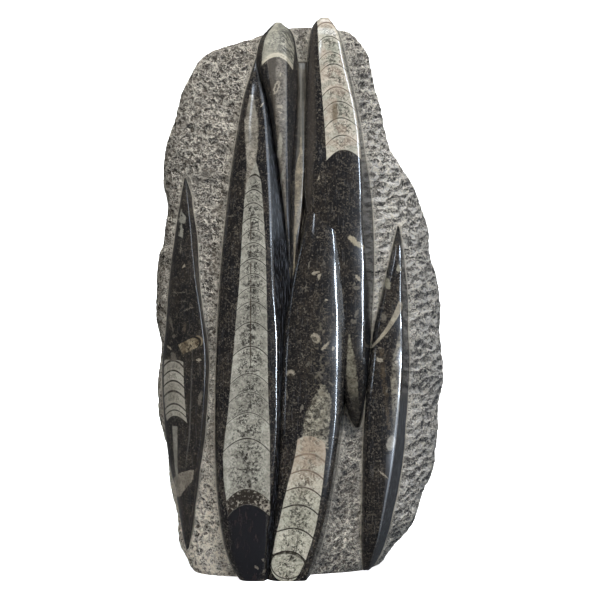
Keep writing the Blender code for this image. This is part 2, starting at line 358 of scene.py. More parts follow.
def ridge(name, table):
    """One polished ridge: an arch with an arris, over two feet on the rough stone, rooted inside it."""
    low, high = table[0][0], table[-1][0]
    rings = []
    for z in np.linspace(low, high, math.ceil((high - low) / RIDGE_ROW) + 1):
        left, right, rise = along(table, z)
        feet = (left, right, stone_front(left, z), stone_front(right, z), rise)
        first, second = np.minimum(along(ARRISES[name], z), right - FLANK_LEAST)
        fit = min(1, (right - left) / NARROW)
        near = [first + step * fit for step in ARRIS_STEPS]
        turn = np.linspace(math.pi, 0, TOP_STEPS, endpoint=False)
        over = np.abs(np.cos(turn)) ** (2 / RIDGE_SQUARENESS) * np.sign(np.cos(turn))
        top = left + (near[0] - left) * (1 + over) / 2
        if second > first + BEVEL_LEAST:
            near += [second + step * min(fit, (right - second) / 2) for step in ARRIS_STEPS[2:]]
        else:
            near += [near[-1] + (right - near[-1]) * 0.1 * (k + 1) for k in range(6)]
        flank = np.linspace(near[-1], right, FLANK_STEPS + 1)[1:]
        xs = np.sort(np.minimum(np.concatenate([top, near, flank]), right))
        depths = ridge_depth(xs, z, feet, (first, second))
        depths[0], depths[-1] = feet[2], feet[3]
        inset = (right - left) * ROOT_INSET
        xs = np.append(xs, [right - inset, left + inset])
        root = RIDGE_ROOT * min(1, (ROOT_END - z) / ROOT_FADE)
        depths = np.append(depths, [feet[3] - root, feet[2] - root])
        rings.append(np.column_stack([xs, -depths, np.full(len(xs), z)]))
    return loft(name, rings)


ridges = [ridge(name, table) for name, table in RIDGES.items()]
for body in ridges:
    print(body.name, len(body.data.polygons), "faces")

# %% [markdown]
# ## One piece of stone
# The blades grow out of the block: they were never apart. A Boolean union joins the eight bodies and drops
# what lies inside. Each body carries its own material slot number, so after the union every face still knows
# whether it is rough or polished, and on which blade it lies.

# %% Join the block and the ridges
FINISHES = ["rough_matrix"] + [f"polish_{name}" for name in RIDGES]
finishes = {name: bpy.data.materials.new(name) for name in FINISHES}


def set_material(body, index):
    """Gives a body every finish in the same order, and all its faces the one at this index."""
    for material in finishes.values():
        body.data.materials.append(material)
    body.data.polygons.foreach_set("material_index", [index] * len(body.data.polygons))


def applied(body, name):
    """The body's mesh with its modifiers worked in, as a new plain object."""
    mesh = bpy.data.meshes.new_from_object(body.evaluated_get(bpy.context.evaluated_depsgraph_get()))
    mesh.name = name
    plain = bpy.data.objects.new(name, mesh)
    bpy.context.scene.collection.objects.link(plain)
    return plain


set_material(rough_block, 0)
for index, body in enumerate(ridges):
    set_material(body, index + 1)
    join = rough_block.modifiers.new(body.name, "BOOLEAN")
    join.operation = "UNION"
    join.solver = "MANIFOLD"
    join.object = body
bpy.context.view_layer.update()
stone = applied(rough_block, "joined_stone")
print("joined stone:", len(stone.data.polygons), "faces")

all_ridges = applied(ridges[0], "all_ridges")
for body in ridges[1:]:
    shape = bmesh.new()
    shape.from_mesh(all_ridges.data)
    shape.from_mesh(body.data)
    shape.to_mesh(all_ridges.data)
    shape.free()
bpy.data.objects.remove(rough_block)
for body in ridges:
    bpy.data.objects.remove(body)

# %% [markdown]
# ## Small helpers for node trees
# Node trees drawn by hand are hard to read as a script. These helpers add one node at a time and return the
# socket that carries its result, so that a tree reads like arithmetic. They serve geometry trees and
# materials alike. Sizes of patterns are given in millimetres, where the nodes want features per unit.

# %% Helpers for node trees
class Tree:
    """A node tree under construction. Values given to a node may be numbers or other nodes' sockets."""

    def __init__(self, tree):
        self.tree = tree

    def give(self, target, value):
        """Links another node's socket to the target, or sets the target to a plain value."""
        if isinstance(value, bpy.types.NodeSocket):
            self.tree.links.new(value, target)
        else:
            target.default_value = value

    def add(self, kind, inputs=(), **settings):
        """A new node with its settings made and its inputs given."""
        made = self.tree.nodes.new(kind)
        for key, value in settings.items():
            setattr(made, key, value)
        for key, value in dict(inputs).items():
            self.give(made.inputs[key], value)
        return made

    def calc(self, operation, *terms):
        """The result of one operation on numbers."""
        return self.add("ShaderNodeMath", enumerate(terms), operation=operation).outputs[0]

    def times(self, first, *others):
        """The product of all the values."""
        for other in others:
            first = self.calc("MULTIPLY", first, other)
        return first

    def most(self, first, *others):
        """The largest of all the values."""
        for other in others:
            first = self.calc("MAXIMUM", first, other)
        return first

    def gap(self, first, second):
        """How far two values lie apart."""
        return self.calc("ABSOLUTE", self.calc("SUBTRACT", first, second))

    def vector(self, operation, *terms):
        """The result of one operation on vectors."""
        made = self.add("ShaderNodeVectorMath", operation=operation)
        targets = (made.inputs[0], made.inputs["Scale"]) if operation == "SCALE" else made.inputs
        for target, term in zip(targets, terms):
            self.give(target, term)
        return made.outputs[1 if operation in ("LENGTH", "DOT_PRODUCT") else 0]

    def split(self, vector):
        """The X, Y and Z of a vector."""
        return self.add("ShaderNodeSeparateXYZ", {0: vector}).outputs

    def ramp(self, value, low, high, start=0, end=1, smooth=True):
        """start below low, end above high, and a smooth or straight change between them."""
        made = self.add(
            "ShaderNodeMapRange",
            {"Value": value, "From Min": low, "From Max": high, "To Min": start, "To Max": end},
            interpolation_type="SMOOTHSTEP" if smooth else "LINEAR",
        )
        return made.outputs["Result"]

    def per(self, size):
        """The scale of a pattern whose features have this size."""
        return self.calc("DIVIDE", 1, size) if isinstance(size, bpy.types.NodeSocket) else 1 / size

    def noise(self, place, size, detail=2, roughness=0.5, colour=False):
        """Smooth noise around 0.5, with features of this size."""
        inputs = {"Vector": place, "Scale": self.per(size), "Detail": detail, "Roughness": roughness}
        return self.add("ShaderNodeTexNoise", inputs).outputs["Color" if colour else "Fac"]

    def warped(self, place, *pushes):
        """The place pushed about by noise, once for each pair of a size and a reach."""
        moved = place
        for size, reach in pushes:
            push = self.vector("SUBTRACT", self.noise(place, size, colour=True), (0.5, 0.5, 0.5))
            moved = self.vector("ADD", moved, self.vector("SCALE", push, reach))
        return moved

    def turned(self, place, angle):
        """The place turned about the Y axis by an angle in radians."""
        inputs = {"Vector": place, "Angle": angle}
        return self.add("ShaderNodeVectorRotate", inputs, rotation_type="Y_AXIS").outputs[0]

    def cells(self, place, size, feature="F1", output="Distance"):
        """Irregular cells of this size: the distance to a centre or an edge, or a colour for each."""
        inputs = {"Vector": place, "Scale": self.per(size)}
        return self.add("ShaderNodeTexVoronoi", inputs, feature=feature).outputs[output]

    def mix(self, factor, first, second):
        """The mix of two colours."""
        return self.add("ShaderNodeMix", {0: factor, 6: first, 7: second}, data_type="RGBA").outputs[2]

    def mix_vector(self, factor, first, second):
        """The mix of two vectors."""
        return self.add("ShaderNodeMix", {0: factor, 4: first, 5: second}, data_type="VECTOR").outputs[1]


print("helpers:", ", ".join(name for name in vars(Tree) if not name.startswith("_")))

# %% [markdown]
# ## Point-chisel marks
# A mason roughs out the ground between the blades with a pointed chisel. Each blow bursts out a shallow
# hollow, and where hollows meet a crushed crest is left standing. The marks are made with Geometry Nodes:
# cell patterns give the hollows, and the finished surface sinks along its normal. The tree's inputs are the
# blades and the rough finish, the sizes of the blows, of the chips inside them and of the stone's slow lumps,
# the plain margin left beside the blades, and a fixed seed.

# %% Inputs of the chisel marks
BLOW_SIZE = 5.2
SEED = 7

marks = bpy.data.node_groups.new("chisel_marks", "GeometryNodeTree")
interface = marks.interface
interface.new_socket("Geometry", in_out="OUTPUT", socket_type="NodeSocketGeometry")
interface.new_socket("Geometry", in_out="INPUT", socket_type="NodeSocketGeometry")
identifiers = {}
for label, kind, value in [
    ("Ridges", "NodeSocketObject", None),
    ("Finish", "NodeSocketMaterial", None),
    ("Blow Size", "NodeSocketFloat", BLOW_SIZE),
    ("Blow Depth", "NodeSocketFloat", 2.1),
    ("Chip Size", "NodeSocketFloat", 2.4),
    ("Chip Depth", "NodeSocketFloat", 0.55),
    ("Lump Size", "NodeSocketFloat", 15.0),
    ("Lump Height", "NodeSocketFloat", 2.4),
    ("Margin", "NodeSocketFloat", 2.0),
    ("Seed", "NodeSocketFloat", SEED),
]:
    socket = interface.new_socket(label, in_out="INPUT", socket_type=kind)
    if value is not None:
        socket.default_value = value
    identifiers[label] = socket.identifier
print(len(identifiers), "inputs of the chisel marks")

# %% [markdown]
# ## How the hollows lie
# The strokes slant on the left half of the block and run almost level on the right. So the cells are drawn
# in a place that is pushed about by noise, turned by that slant, and squeezed, which stretches each cell
# along its stroke. A smooth change across the block leads from one slant to the other.

# %% Helpers for the hollows
STROKE_WARPS = ((11, 5.5), (2.6, 2.3))
LEFT_STROKES = (-0.6, 0.75)
RIGHT_STROKES = (0.12, 0.55)


def stroke_place(t, place):
    """The place in which the blows' cells are drawn: warped, and stretched along the mason's strokes."""
    warped = t.warped(place, *STROKE_WARPS)
    stretched = []
    for lean, squeeze in (LEFT_STROKES, RIGHT_STROKES):
        stretched.append(t.vector("MULTIPLY", t.turned(warped, lean), (squeeze, 1, 1)))
    return t.mix_vector(t.ramp(t.split(place)[0], -5, 30), *stretched)


def bowl(t, strokes, size, depth, steep):
    """A hollow in each cell: deepest in its middle, up to the crest at its edge. Cells differ in depth."""
    edge = t.cells(strokes, size, "DISTANCE_TO_EDGE")
    each = t.split(t.cells(strokes, size, output="Color"))[0]
    return t.times(t.ramp(edge, 0, steep), t.ramp(each, 0, 1, 0.35, 1, smooth=False), depth)


# %% [markdown]
# ## The relief
# Lumps, grain, blows and chips add up to one height. Nearness to the blades, to the sawn base and to the thin
# top weakens it, for there the mason took only light blows. The tree also keeps each point's place before
# it sank, its distance from the blades and its height, so that the finish can draw the same cells finer than
# the mesh is.

# %% Tree of the chisel marks
GRAIN_SIZE = 1.9
GRAIN_HEIGHT = 1.5
LIFT = 0.8

t = Tree(marks)
entry = t.add("NodeGroupInput").outputs
place = t.vector("SCALE", t.add("GeometryNodeInputPosition").outputs[0], 1 / MM)
seeded = t.vector("ADD", place, t.add("ShaderNodeCombineXYZ", {1: entry["Seed"]}).outputs[0])
strokes = stroke_place(t, seeded)
blows = bowl(t, strokes, entry["Blow Size"], entry["Blow Depth"], 0.42)
chips = bowl(t, strokes, entry["Chip Size"], entry["Chip Depth"], 0.4)
lumps = t.times(t.calc("SUBTRACT", t.noise(seeded, entry["Lump Size"]), 0.5), entry["Lump Height"])
grain = t.times(t.calc("SUBTRACT", t.noise(seeded, GRAIN_SIZE, 3, 0.7), 0.5), GRAIN_HEIGHT)
height = t.calc("SUBTRACT", t.calc("ADD", lumps, grain), t.calc("ADD", blows, chips))
height = t.calc("ADD", height, LIFT)

ridge_mesh = t.add("GeometryNodeObjectInfo", {"Object": entry["Ridges"]}).outputs["Geometry"]
near = t.add("GeometryNodeProximity", {0: ridge_mesh}, target_element="FACES").outputs["Distance"]
distance = t.times(near, 1 / MM)
z = t.split(place)[2]
fade = t.times(t.ramp(distance, 0.2, entry["Margin"]), t.ramp(z, 0.2, 3), t.ramp(z, 358, 367, 1, 0.25))
height = t.times(height, fade)
shift = t.vector("SCALE", t.add("GeometryNodeInputNormal").outputs[0], t.times(height, MM))
print("chisel marks so far:", len(marks.nodes), "nodes")

# %% [markdown]
# ## Moving the points and naming the finish
# The tree stores what the finish will need, moves the points, and ends in Realize Instances and Set
# Material, which sets the finish of the rough faces alone. The modifier's inputs are set by the sockets'
# identifiers. Its result is then turned into a plain mesh.

# %% Store, move and apply
geometry = entry["Geometry"]
for label, value, kind in (
    ("stone_place", place, "FLOAT_VECTOR"),
    ("from_ridge", distance, "FLOAT"),
    ("height", height, "FLOAT"),
):
    stored = {"Geometry": geometry, "Name": label, "Value": value}
    geometry = t.add("GeometryNodeStoreNamedAttribute", stored, data_type=kind).outputs[0]
geometry = t.add("GeometryNodeSetPosition", {"Geometry": geometry, "Offset": shift}).outputs[0]
geometry = t.add("GeometryNodeRealizeInstances", {0: geometry}).outputs[0]
number = t.add("GeometryNodeInputMaterialIndex").outputs[0]
is_rough = t.add("FunctionNodeCompare", {2: number, 3: 0}, data_type="INT", operation="EQUAL").outputs[0]
dressed = {"Geometry": geometry, "Selection": is_rough, "Material": entry["Finish"]}
t.add("NodeGroupOutput", {0: t.add("GeometryNodeSetMaterial", dressed).outputs[0]})

chisel = stone.modifiers.new("chisel_marks", "NODES")
chisel.node_group = marks
chisel[identifiers["Ridges"]] = all_ridges
chisel[identifiers["Finish"]] = finishes["rough_matrix"]
bpy.context.view_layer.update()
carved = applied(stone, "fossil_stone_carved")
print("carved stone:", len(carved.data.vertices), "points")

# %% [markdown]
# ## Crisp borders and a true place
# Smooth shading would smear the polish into the rough ground. Edges where two finishes meet are marked
# sharp, so the shading breaks there, and so are the edges of the sawn base. The finished mesh is then moved
# to where the solid model stands in the frame, and its object stays at the origin.

# %% Sharp borders, smooth faces, and the move onto the frame's origin
CENTRING = 1.17
STRAIGHT_DOWN = -0.99

shape = bmesh.new()
shape.from_mesh(carved.data)
for face in shape.faces:
    face.smooth = face.normal.z > STRAIGHT_DOWN
for edge in shape.edges:
    kinds = {face.material_index for face in edge.link_faces}
    edge.smooth = len(kinds) == 1 and all(face.smooth for face in edge.link_faces)
print(sum(not edge.smooth for edge in shape.edges), "sharp edges")
bmesh.ops.translate(shape, verts=shape.verts, vec=(-CENTRING * MM, 0, 0))
shape.to_mesh(carved.data)
shape.free()
bpy.data.objects.remove(stone)
bpy.data.objects.remove(all_ridges)

# %% [markdown]
# ## Colours, places and attributes
# Every finish starts in the same way: a tree with its surface shader, and the place on the stone in
# millimetres, measured from the same lines as the block's tables. It reads Object coordinates, so the
# pattern stays on the stone. Shaders take linear numbers, and a helper turns the usual screen values, 0 to
# 255, into those.

# %% Helpers that every finish uses
def shade(red, green, blue):
    """A colour from its screen values, 0 to 255, as the linear numbers that shaders take."""
    parts = [c / 255 for c in (red, green, blue)]
    return tuple(c / 12.92 if c <= 0.04045 else ((c + 0.055) / 1.055) ** 2.4 for c in parts) + (1,)


def fresh(material):
    """The tree of a new material."""
    material.use_nodes = True
    return Tree(material.node_tree)


def object_place(t):
    """The place on a piece, in mm."""
    return t.vector("SCALE", t.add("ShaderNodeTexCoord").outputs["Object"], 1 / MM)


def stone_place(t):
    """The place on the stone in mm, measured from the same lines as the block's tables."""
    return t.vector("ADD", object_place(t), (CENTRING, 0, 0))


def attribute(t, name, output="Fac"):
    """What the tree of the chisel marks stored under this name."""
    return t.add("ShaderNodeAttribute", attribute_name=name).outputs[output]


def wire(material, t, colour, roughness, gloss):
    """Gives a material its colour, its roughness and the strength of its reflection."""
    surface = material.node_tree.nodes["Principled BSDF"]
    t.give(surface.inputs["Base Color"], colour)
    t.give(surface.inputs["Roughness"], roughness)
    surface.inputs["Specular IOR Level"].default_value = gloss
    print(material.name, "has", len(t.tree.nodes), "nodes")
    return surface


print("a mid grey in linear numbers:", round(shade(128, 128, 128)[0], 3))

# %% [markdown]
# ## What a blow leaves
# Struck limestone bursts. Each hollow is painted with shade on its upper side and has a bright rim on its
# lower side. The rim is partly crushed, bruised stone and partly painted light, because it is drawn on the
# lit side alone. One helper draws that from the cells' edges and middles. It is used with the very cells that
# shaped the relief, so that colour and relief agree, and again with smaller ones, which the mesh is too
# coarse for.
# A second helper draws thin curled scratches, from where a noise crosses its middle value.

# %% Helpers for the rough ground
CHIP_SIZE = 2.7
BLOW_DIRECTION = (0.45, 0, -0.9)

t = fresh(finishes["rough_matrix"])
x, _, z = t.split(stone_place(t))
seeded = t.vector("ADD", attribute(t, "stone_place", "Vector"), (0, SEED, 0))
strokes = stroke_place(t, seeded)


def bursts(size, low, thin):
    """Bursts of this size in mm: rims, partly painted light, painted hollow shade, and how far below the
    middle.
    """
    edge = t.cells(strokes, size, "DISTANCE_TO_EDGE")
    offset = t.vector("SUBTRACT", strokes, t.cells(strokes, size, output="Position"))
    below = t.vector("DOT_PRODUCT", t.vector("SCALE", offset, 1 / size), BLOW_DIRECTION)
    kept = t.ramp(t.noise(seeded, size / 2), low, low + 0.1)
    # The rim is crushed stone kept to the lower side, which faces the light: partly painted light.
    rim = t.times(t.ramp(edge, thin, thin * 3, 1, 0), t.ramp(below, 0, 0.2, 0.12, 1), kept)
    # Painted shade on the upper side of each hollow.
    hollow_shade = t.times(t.ramp(below, -0.34, -0.04, 1, 0), t.ramp(edge, 0.04, 0.14))
    return rim, hollow_shade, below


def curls(size, low):
    """Thin curled lines, one of this size in mm, kept where a slower noise is above low."""
    line = t.ramp(t.gap(t.noise(strokes, size, 2, 0.6), 0.5), 0.012, 0.045, 1, 0)
    return t.times(line, t.ramp(t.noise(seeded, size * 1.8), low, low + 0.06))


rim, hollow_shade, below = bursts(BLOW_SIZE, 0.38, 0.03)
small_lit_rim, small_hollow_shade, _ = bursts(CHIP_SIZE, 0.42, 0.05)
print("bursts of", BLOW_SIZE, "and", CHIP_SIZE, "mm take", len(t.tree.nodes), "nodes")

# %% [markdown]
# ## The stone's own tones, dust and painted light
# Under the marks the stone is brown-grey in two tones, bluer towards the right, with some blows darker than
# their neighbours. The lower wall of each hollow faces the light and is painted lighter. Chalky dust lies in
# blotches at the foot on the left. On the scallops of the right side, the lower part of each hollow is paler:
# partly chalky dust, partly painted light.

# %% Tones and dust of the rough ground
BROWN_DARK = shade(78, 69, 59)
BROWN_LIGHT = shade(116, 107, 95)
BLUE_GREY = shade(84, 84, 86)
UMBER = shade(66, 60, 54)
LIT_FACE_TONE = shade(190, 180, 164)
DUST_WARM = shade(240, 229, 211)
DUST_AND_LIGHT_COOL = shade(232, 229, 224)

each_blow = t.split(t.cells(strokes, BLOW_SIZE, output="Color"))[1]
mottle = t.noise(t.vector("MULTIPLY", strokes, (1, 1, 1.5)), 2.6, 5, 0.65)
colour = t.mix(t.ramp(t.noise(seeded, 6, 4, 0.65), 0.38, 0.6), BROWN_DARK, BROWN_LIGHT)
colour = t.mix(t.ramp(x, 40, 66, 0, 0.6), colour, BLUE_GREY)
colour = t.mix(t.ramp(each_blow, 0.6, 0.9, 0, 0.5), colour, UMBER)
# Painted light: the lower wall of each hollow faces the lamp and is lighter.
face = t.times(t.ramp(mottle, 0.5, 0.6), t.ramp(below, -0.12, 0.3, 0.1, 0.65))
colour = t.mix(face, colour, LIT_FACE_TONE)

blotches = t.ramp(t.noise(seeded, 4, 5, 0.75), 0.45, 0.52)
foot_dust = t.times(t.ramp(z, 40, 110, 1, 0), t.ramp(x, -50, -42, 1, 0), blotches)
uneven = t.ramp(t.noise(strokes, 1.8, 4, 0.75), 0.3, 0.7, -0.45, 0.45, smooth=False)
# The lower part of each hollow at the right: partly chalky dust, partly painted light.
lit_scallops = t.ramp(t.calc("ADD", below, uneven), 0.02, 0.16)
side_dust_and_light = t.times(t.ramp(x, 34, 56), lit_scallops)
dust_and_light_tone = t.mix(t.ramp(x, 0, 40), DUST_WARM, DUST_AND_LIGHT_COOL)
colour = t.mix(t.most(foot_dust, side_dust_and_light), colour, dust_and_light_tone)
print("with tones and dust:", len(t.tree.nodes), "nodes")

# %% [markdown]
# ## Painted shade, bruises and grit
# The hollows are darkened as painted shade, and so are the pits, more where the stone lies low. The bruises
# are
# whitened: the rims of the bursts, partly painted light, the scratches, and a crushed band beside each blade.
# Single grains of grit, a millimetre across, go darker or lighter. A narrow chalky line follows the border of
# each blade. The far right turns away from the light and gets a painted bluer shade.

# %% Finish of the rough ground
PIT_AND_HOLLOW_SHADE = shade(46, 40, 35)
BRUISE_AND_HIGHLIGHT_WHITE = shade(250, 243, 228)
GRIT_DARK = shade(40, 35, 31)
GRIT_PALE = shade(244, 236, 220)
BORDER_LINE = shade(206, 198, 182)
TURNED_AWAY_SHADE = shade(66, 69, 74)
ROUGH_STONE = 0.85
ROUGH_GLOSS = 0.3
BUMP_DISTANCE = 0.0021

fine = t.noise(seeded, 1.3, 5, 0.75)
# Pits, darker where the stone lies low: partly real dark pits, partly painted shade.
pits_and_low_shade = t.times(t.ramp(fine, 0.38, 0.46, 0.8, 0), t.ramp(attribute(t, "height"), -0.6, 0.8, 1, 0.6))
# Painted shade in the hollows of the bursts.
painted_shade = t.most(t.times(hollow_shade, 0.95), t.times(small_hollow_shade, 0.65))
painted_shade = t.times(painted_shade, t.ramp(mottle, 0.46, 0.6, 1, 0.4))
colour = t.mix(t.most(pits_and_low_shade, painted_shade), colour, PIT_AND_HOLLOW_SHADE)

from_ridge = attribute(t, "from_ridge")
beside = t.times(t.ramp(from_ridge, 0.8, 5, 0.9, 0), t.ramp(t.noise(seeded, 1.8, 4, 0.7), 0.46, 0.56))
# Bruises, together with the rims of the bursts, which are partly painted light.
bruise_and_lit_rim = t.most(rim, small_lit_rim, curls(3.4, 0.47), curls(1.9, 0.5), beside)
worn = t.ramp(t.noise(seeded, 9, 3, 0.6), 0.38, 0.54, 0.45, 1)
bruise_and_lit_rim = t.times(bruise_and_lit_rim, worn, t.ramp(fine, 0.36, 0.5, 0.45, 1))
colour = t.mix(bruise_and_lit_rim, colour, BRUISE_AND_HIGHLIGHT_WHITE)

grit = t.split(t.cells(seeded, 1, output="Color"))[0]
colour = t.mix(t.ramp(grit, 0.75, 1, 0, 0.42), colour, GRIT_DARK)
colour = t.mix(t.ramp(grit, 0.2, 0, 0, 0.4), colour, GRIT_PALE)
colour = t.mix(t.ramp(from_ridge, 0.45, 0.9, 0.85, 0), colour, BORDER_LINE)
# Painted shade: the far right turns away from the light, so it is darker and bluer.
far_right_shade = t.times(t.ramp(x, 66, 92, 0.1, 1), t.ramp(t.noise(seeded, 14), 0.35, 0.6, 0.6, 1), 0.35)
colour = t.mix(far_right_shade, colour, TURNED_AWAY_SHADE)
surface = wire(finishes["rough_matrix"], t, colour, ROUGH_STONE, ROUGH_GLOSS)
relief = t.calc("ADD", t.calc("ADD", fine, mottle), t.times(bruise_and_lit_rim, 0.35))
bump = t.add("ShaderNodeBump", {"Height": relief, "Distance": BUMP_DISTANCE, "Strength": 1})
t.give(surface.inputs["Normal"], bump.outputs[0])

# %% [markdown]
# ## Black polished limestone
# Under polish the stone is nearly black, with browner clouds, fine grains and upright fibres, pale specks,
# and short curled threads: pieces of tiny shells. Each polished finish starts from this ground and ends with
# the same wiring.

# %% Helpers for the black ground
GROUND_DARK = shade(22, 21, 22)
GROUND_BROWN = shade(44, 39, 34)
GRAIN_TONE = shade(96, 88, 78)
GRIT_TONE = shade(124, 117, 106)
FIBRE_TONE = shade(104, 104, 106)
SPECK_TONE = shade(128, 120, 106)
SPECK_CELL = 3.2
POLISHED = 0.15
POLISH_GLOSS = 0.5


def ground(t, here):
    """The black stone with clouds, grains, grit, fibres, specks and threads."""
    clouds = t.times(t.ramp(t.noise(here, 18, 3), 0.4, 0.62), t.ramp(t.noise(here, 2.4, 3, 0.7), 0.3, 0.65))
    colour = t.mix(clouds, GROUND_DARK, GROUND_BROWN)
    colour = t.mix(t.ramp(t.noise(here, 1.4, 5, 0.8), 0.54, 0.68, 0, 0.5), colour, GRAIN_TONE)
    grit = t.split(t.cells(here, 0.9, output="Color"))[0]
    colour = t.mix(t.ramp(grit, 0.8, 1, 0, 0.32), colour, GRIT_TONE)
    fibres = t.noise(t.vector("MULTIPLY", here, (1, 1, 0.07)), 0.9, 3, 0.6)
    colour = t.mix(t.ramp(fibres, 0.54, 0.7, 0, 0.22), colour, FIBRE_TONE)
    kept = t.ramp(t.split(t.cells(here, SPECK_CELL, output="Color"))[0], 0.5, 0.52)
    specks = t.times(t.ramp(t.cells(here, SPECK_CELL), 0.06, 0.13, 1, 0), kept)
    threads = 0
    for size, low in ((3, 0.5), (1.7, 0.54)):
        line = t.ramp(t.gap(t.noise(here, size, 1), 0.5), 0.008, 0.03, 1, 0)
        line = t.times(line, t.ramp(t.noise(here, size * 2.3, 1), low, low + 0.08))
        threads = t.most(line, threads)
    return t.mix(t.most(specks, t.times(threads, 0.34)), colour, SPECK_TONE)


def begin(name):
    """The tree of a blade's finish, the place on the stone in mm, and the black ground to paint on."""
    t = fresh(finishes["polish_" + name])
    here = stone_place(t)
    return t, here, ground(t, here)


def polish(name, t, colour, roughness=POLISHED, gloss=POLISH_GLOSS):
    """Wires up the finish of a blade."""
    wire(finishes["polish_" + name], t, colour, roughness, gloss)


print("roughness of the polish:", POLISHED)

# %% [markdown]
# ## Graphs and patches
# A curved edge on a blade is a graph: its X over the height. A Float Curve node holds it, and two of them
# enclose a strip. A patch is a strip filled with one tone. Its edge is softened and made uneven by noise, as
# the border of a fossil is.

# %% Helpers for graphs and patches
END_SOFTNESS = 0.3


def curve(t, value, rows):
    """A graph through rows of (place, value), held level beyond its ends."""
    start, end = rows[0][0], rows[-1][0]
    values = [row[1] for row in rows]
    low, high = min(values), max(max(values), min(values) + 0.01)
    made = t.add("ShaderNodeFloatCurve", {"Value": t.ramp(value, start, end, smooth=False)})
    points = made.mapping.curves[0].points
    spots = [((at - start) / (end - start), (level - low) / (high - low)) for at, level in rows]
    points[0].location, points[1].location = spots[0], spots[-1]
    for spot in spots[1:-1]:
        points.new(*spot)
    for point in points:
        point.handle_type = "VECTOR"
    made.mapping.update()
    return t.ramp(made.outputs[0], 0, 1, low, high, smooth=False)


def strip(t, here, edges, soft=0.4, wobble=0.5):
    """1 between two graphs over the height and 0 beyond them, how far from their middle, and the width."""
    x, _, z = t.split(here)
    first, last = [curve(t, z, edge) for edge in edges]
    width = t.most(t.calc("SUBTRACT", last, first), 0.01)
    aside = t.calc("SUBTRACT", x, t.times(t.calc("ADD", first, last), 0.5))
    inside = t.calc("SUBTRACT", t.times(width, 0.5), t.calc("ABSOLUTE", aside))
    uneven = t.times(t.calc("SUBTRACT", t.noise(here, 2.2), 0.5), wobble)
    within = t.ramp(t.calc("ADD", inside, uneven), 0, soft)
    low, high = edges[0][0][0], edges[0][-1][0]
    above = t.ramp(z, low - END_SOFTNESS, low + END_SOFTNESS)
    beneath = t.ramp(z, high - END_SOFTNESS, high + END_SOFTNESS, 1, 0)
    return t.times(within, above, beneath), aside, width


def patch(t, here, under, edges, tone, strength=1, soft=0.4, wobble=0.5):
    """A strip filled with one tone, laid over what is under it."""
    within, *_ = strip(t, here, edges, soft, wobble)
    return t.mix(t.times(within, strength), under, tone)


print("a patch ends within", END_SOFTNESS, "mm of its first and last height")

# %% [markdown]
# ## Shells
# The chambers of a shell are filled with spar, a crystalline filling in two light tones with dark grains in
# clouds. The walls between the chambers, the septa, are saucers, so a cut through them shows arcs. A height
# that bends with the distance from the shell's middle counts the chambers: where the count is a whole
# number there is a wall.

# %% Helpers for shells
WALL_TONE = shade(34, 29, 25)


def spar(t, here, tones, amount, number=None, bias=0):
    """Shell filled with spar: two light tones, and dark grains in clouds, denser where bias is above 0."""
    light, second, dark = [shade(*tone) for tone in tones]
    clouds = t.ramp(t.noise(here, 7), 0.4, 0.62)
    if number is not None:
        each = t.add("ShaderNodeTexWhiteNoise", {"W": t.calc("FLOOR", number)}, noise_dimensions="1D")
        clouds = t.calc("ADD", t.times(clouds, 0.5), t.times(each.outputs["Value"], 0.5))
    bent = t.vector("ADD", here, t.vector("SCALE", t.noise(here, 3, colour=True), 2))
    grains = t.ramp(t.calc("ADD", t.noise(bent, 1.6, 5, 0.8), bias), 0.47, 0.56)
    net = t.ramp(t.gap(t.noise(bent, 2.4, 3, 0.6), 0.5), 0.008, 0.04, 0.75, 0)
    grains = t.most(grains, t.times(net, t.ramp(t.noise(here, 3.5), 0.4, 0.55)))
    grains = t.times(grains, t.ramp(t.noise(here, 4.5), 0.36, 0.54, 0.5, 1), amount)
    return t.mix(grains, t.mix(clouds, light, second), dark)


def shell(t, here, under, edges, septa, tones, low_end, sag, skew=0, line=0.5, speckle=0.55):
    """A straight shell over the ground. septa are the crests of its chamber walls, from the lowest up."""
    within, aside, width = strip(t, here, edges)
    across = t.calc("DIVIDE", aside, t.times(width, 0.5))
    from_middle = t.calc("ABSOLUTE", across)
    bow = t.times(across, across, width, sag)
    level = t.calc("ADD", t.calc("ADD", t.split(here)[2], bow), t.times(aside, skew))
    number = curve(t, level, [(at, k) for k, at in enumerate(septa)])
    spacing = t.ramp(level, septa[0], septa[-1], septa[1] - septa[0], septa[-1] - septa[-2], smooth=False)
    off_wall = t.times(t.gap(number, t.calc("ROUND", number)), spacing)
    amount = t.times(t.ramp(from_middle, 0.35, 1, 1, 0.5), t.ramp(off_wall, 0.6, 2.2, 0.45, 1), speckle)
    colour = spar(t, here, tones, amount, number, t.ramp(from_middle, 0, 0.85, 0.035, -0.012))
    walls = t.times(
        t.ramp(off_wall, line * 0.6, line * 1.5, 0.95, 0),
        t.ramp(level, septa[0] - 1, septa[0] - 0.8),
        t.ramp(t.noise(here, 3, 3, 0.6), 0.36, 0.5, 0.75, 1),
        t.ramp(level, septa[-1] + 0.8, septa[-1] + 1, 1, 0),
    )
    colour = t.mix(walls, colour, WALL_TONE)
    within = t.times(within, t.ramp(level, low_end - END_SOFTNESS, low_end + END_SOFTNESS))
    return t.mix(within, under, colour), within, level


print("tone of the chamber walls:", [round(part, 3) for part in WALL_TONE[:3]])

# %% [markdown]
# ## Flanks, dull edges and flecks
# Beyond its arris a blade's steep flank is dark and bluish, with fine upright streaks that are partly
# scratches of the grinding and partly painted sheen. Near the tip of one blade and the foot of another the
# arris was left duller too, so that no bright line runs there. Small loose fossil pieces are ovals, each in a
# place of its own that is moved, turned and stretched.

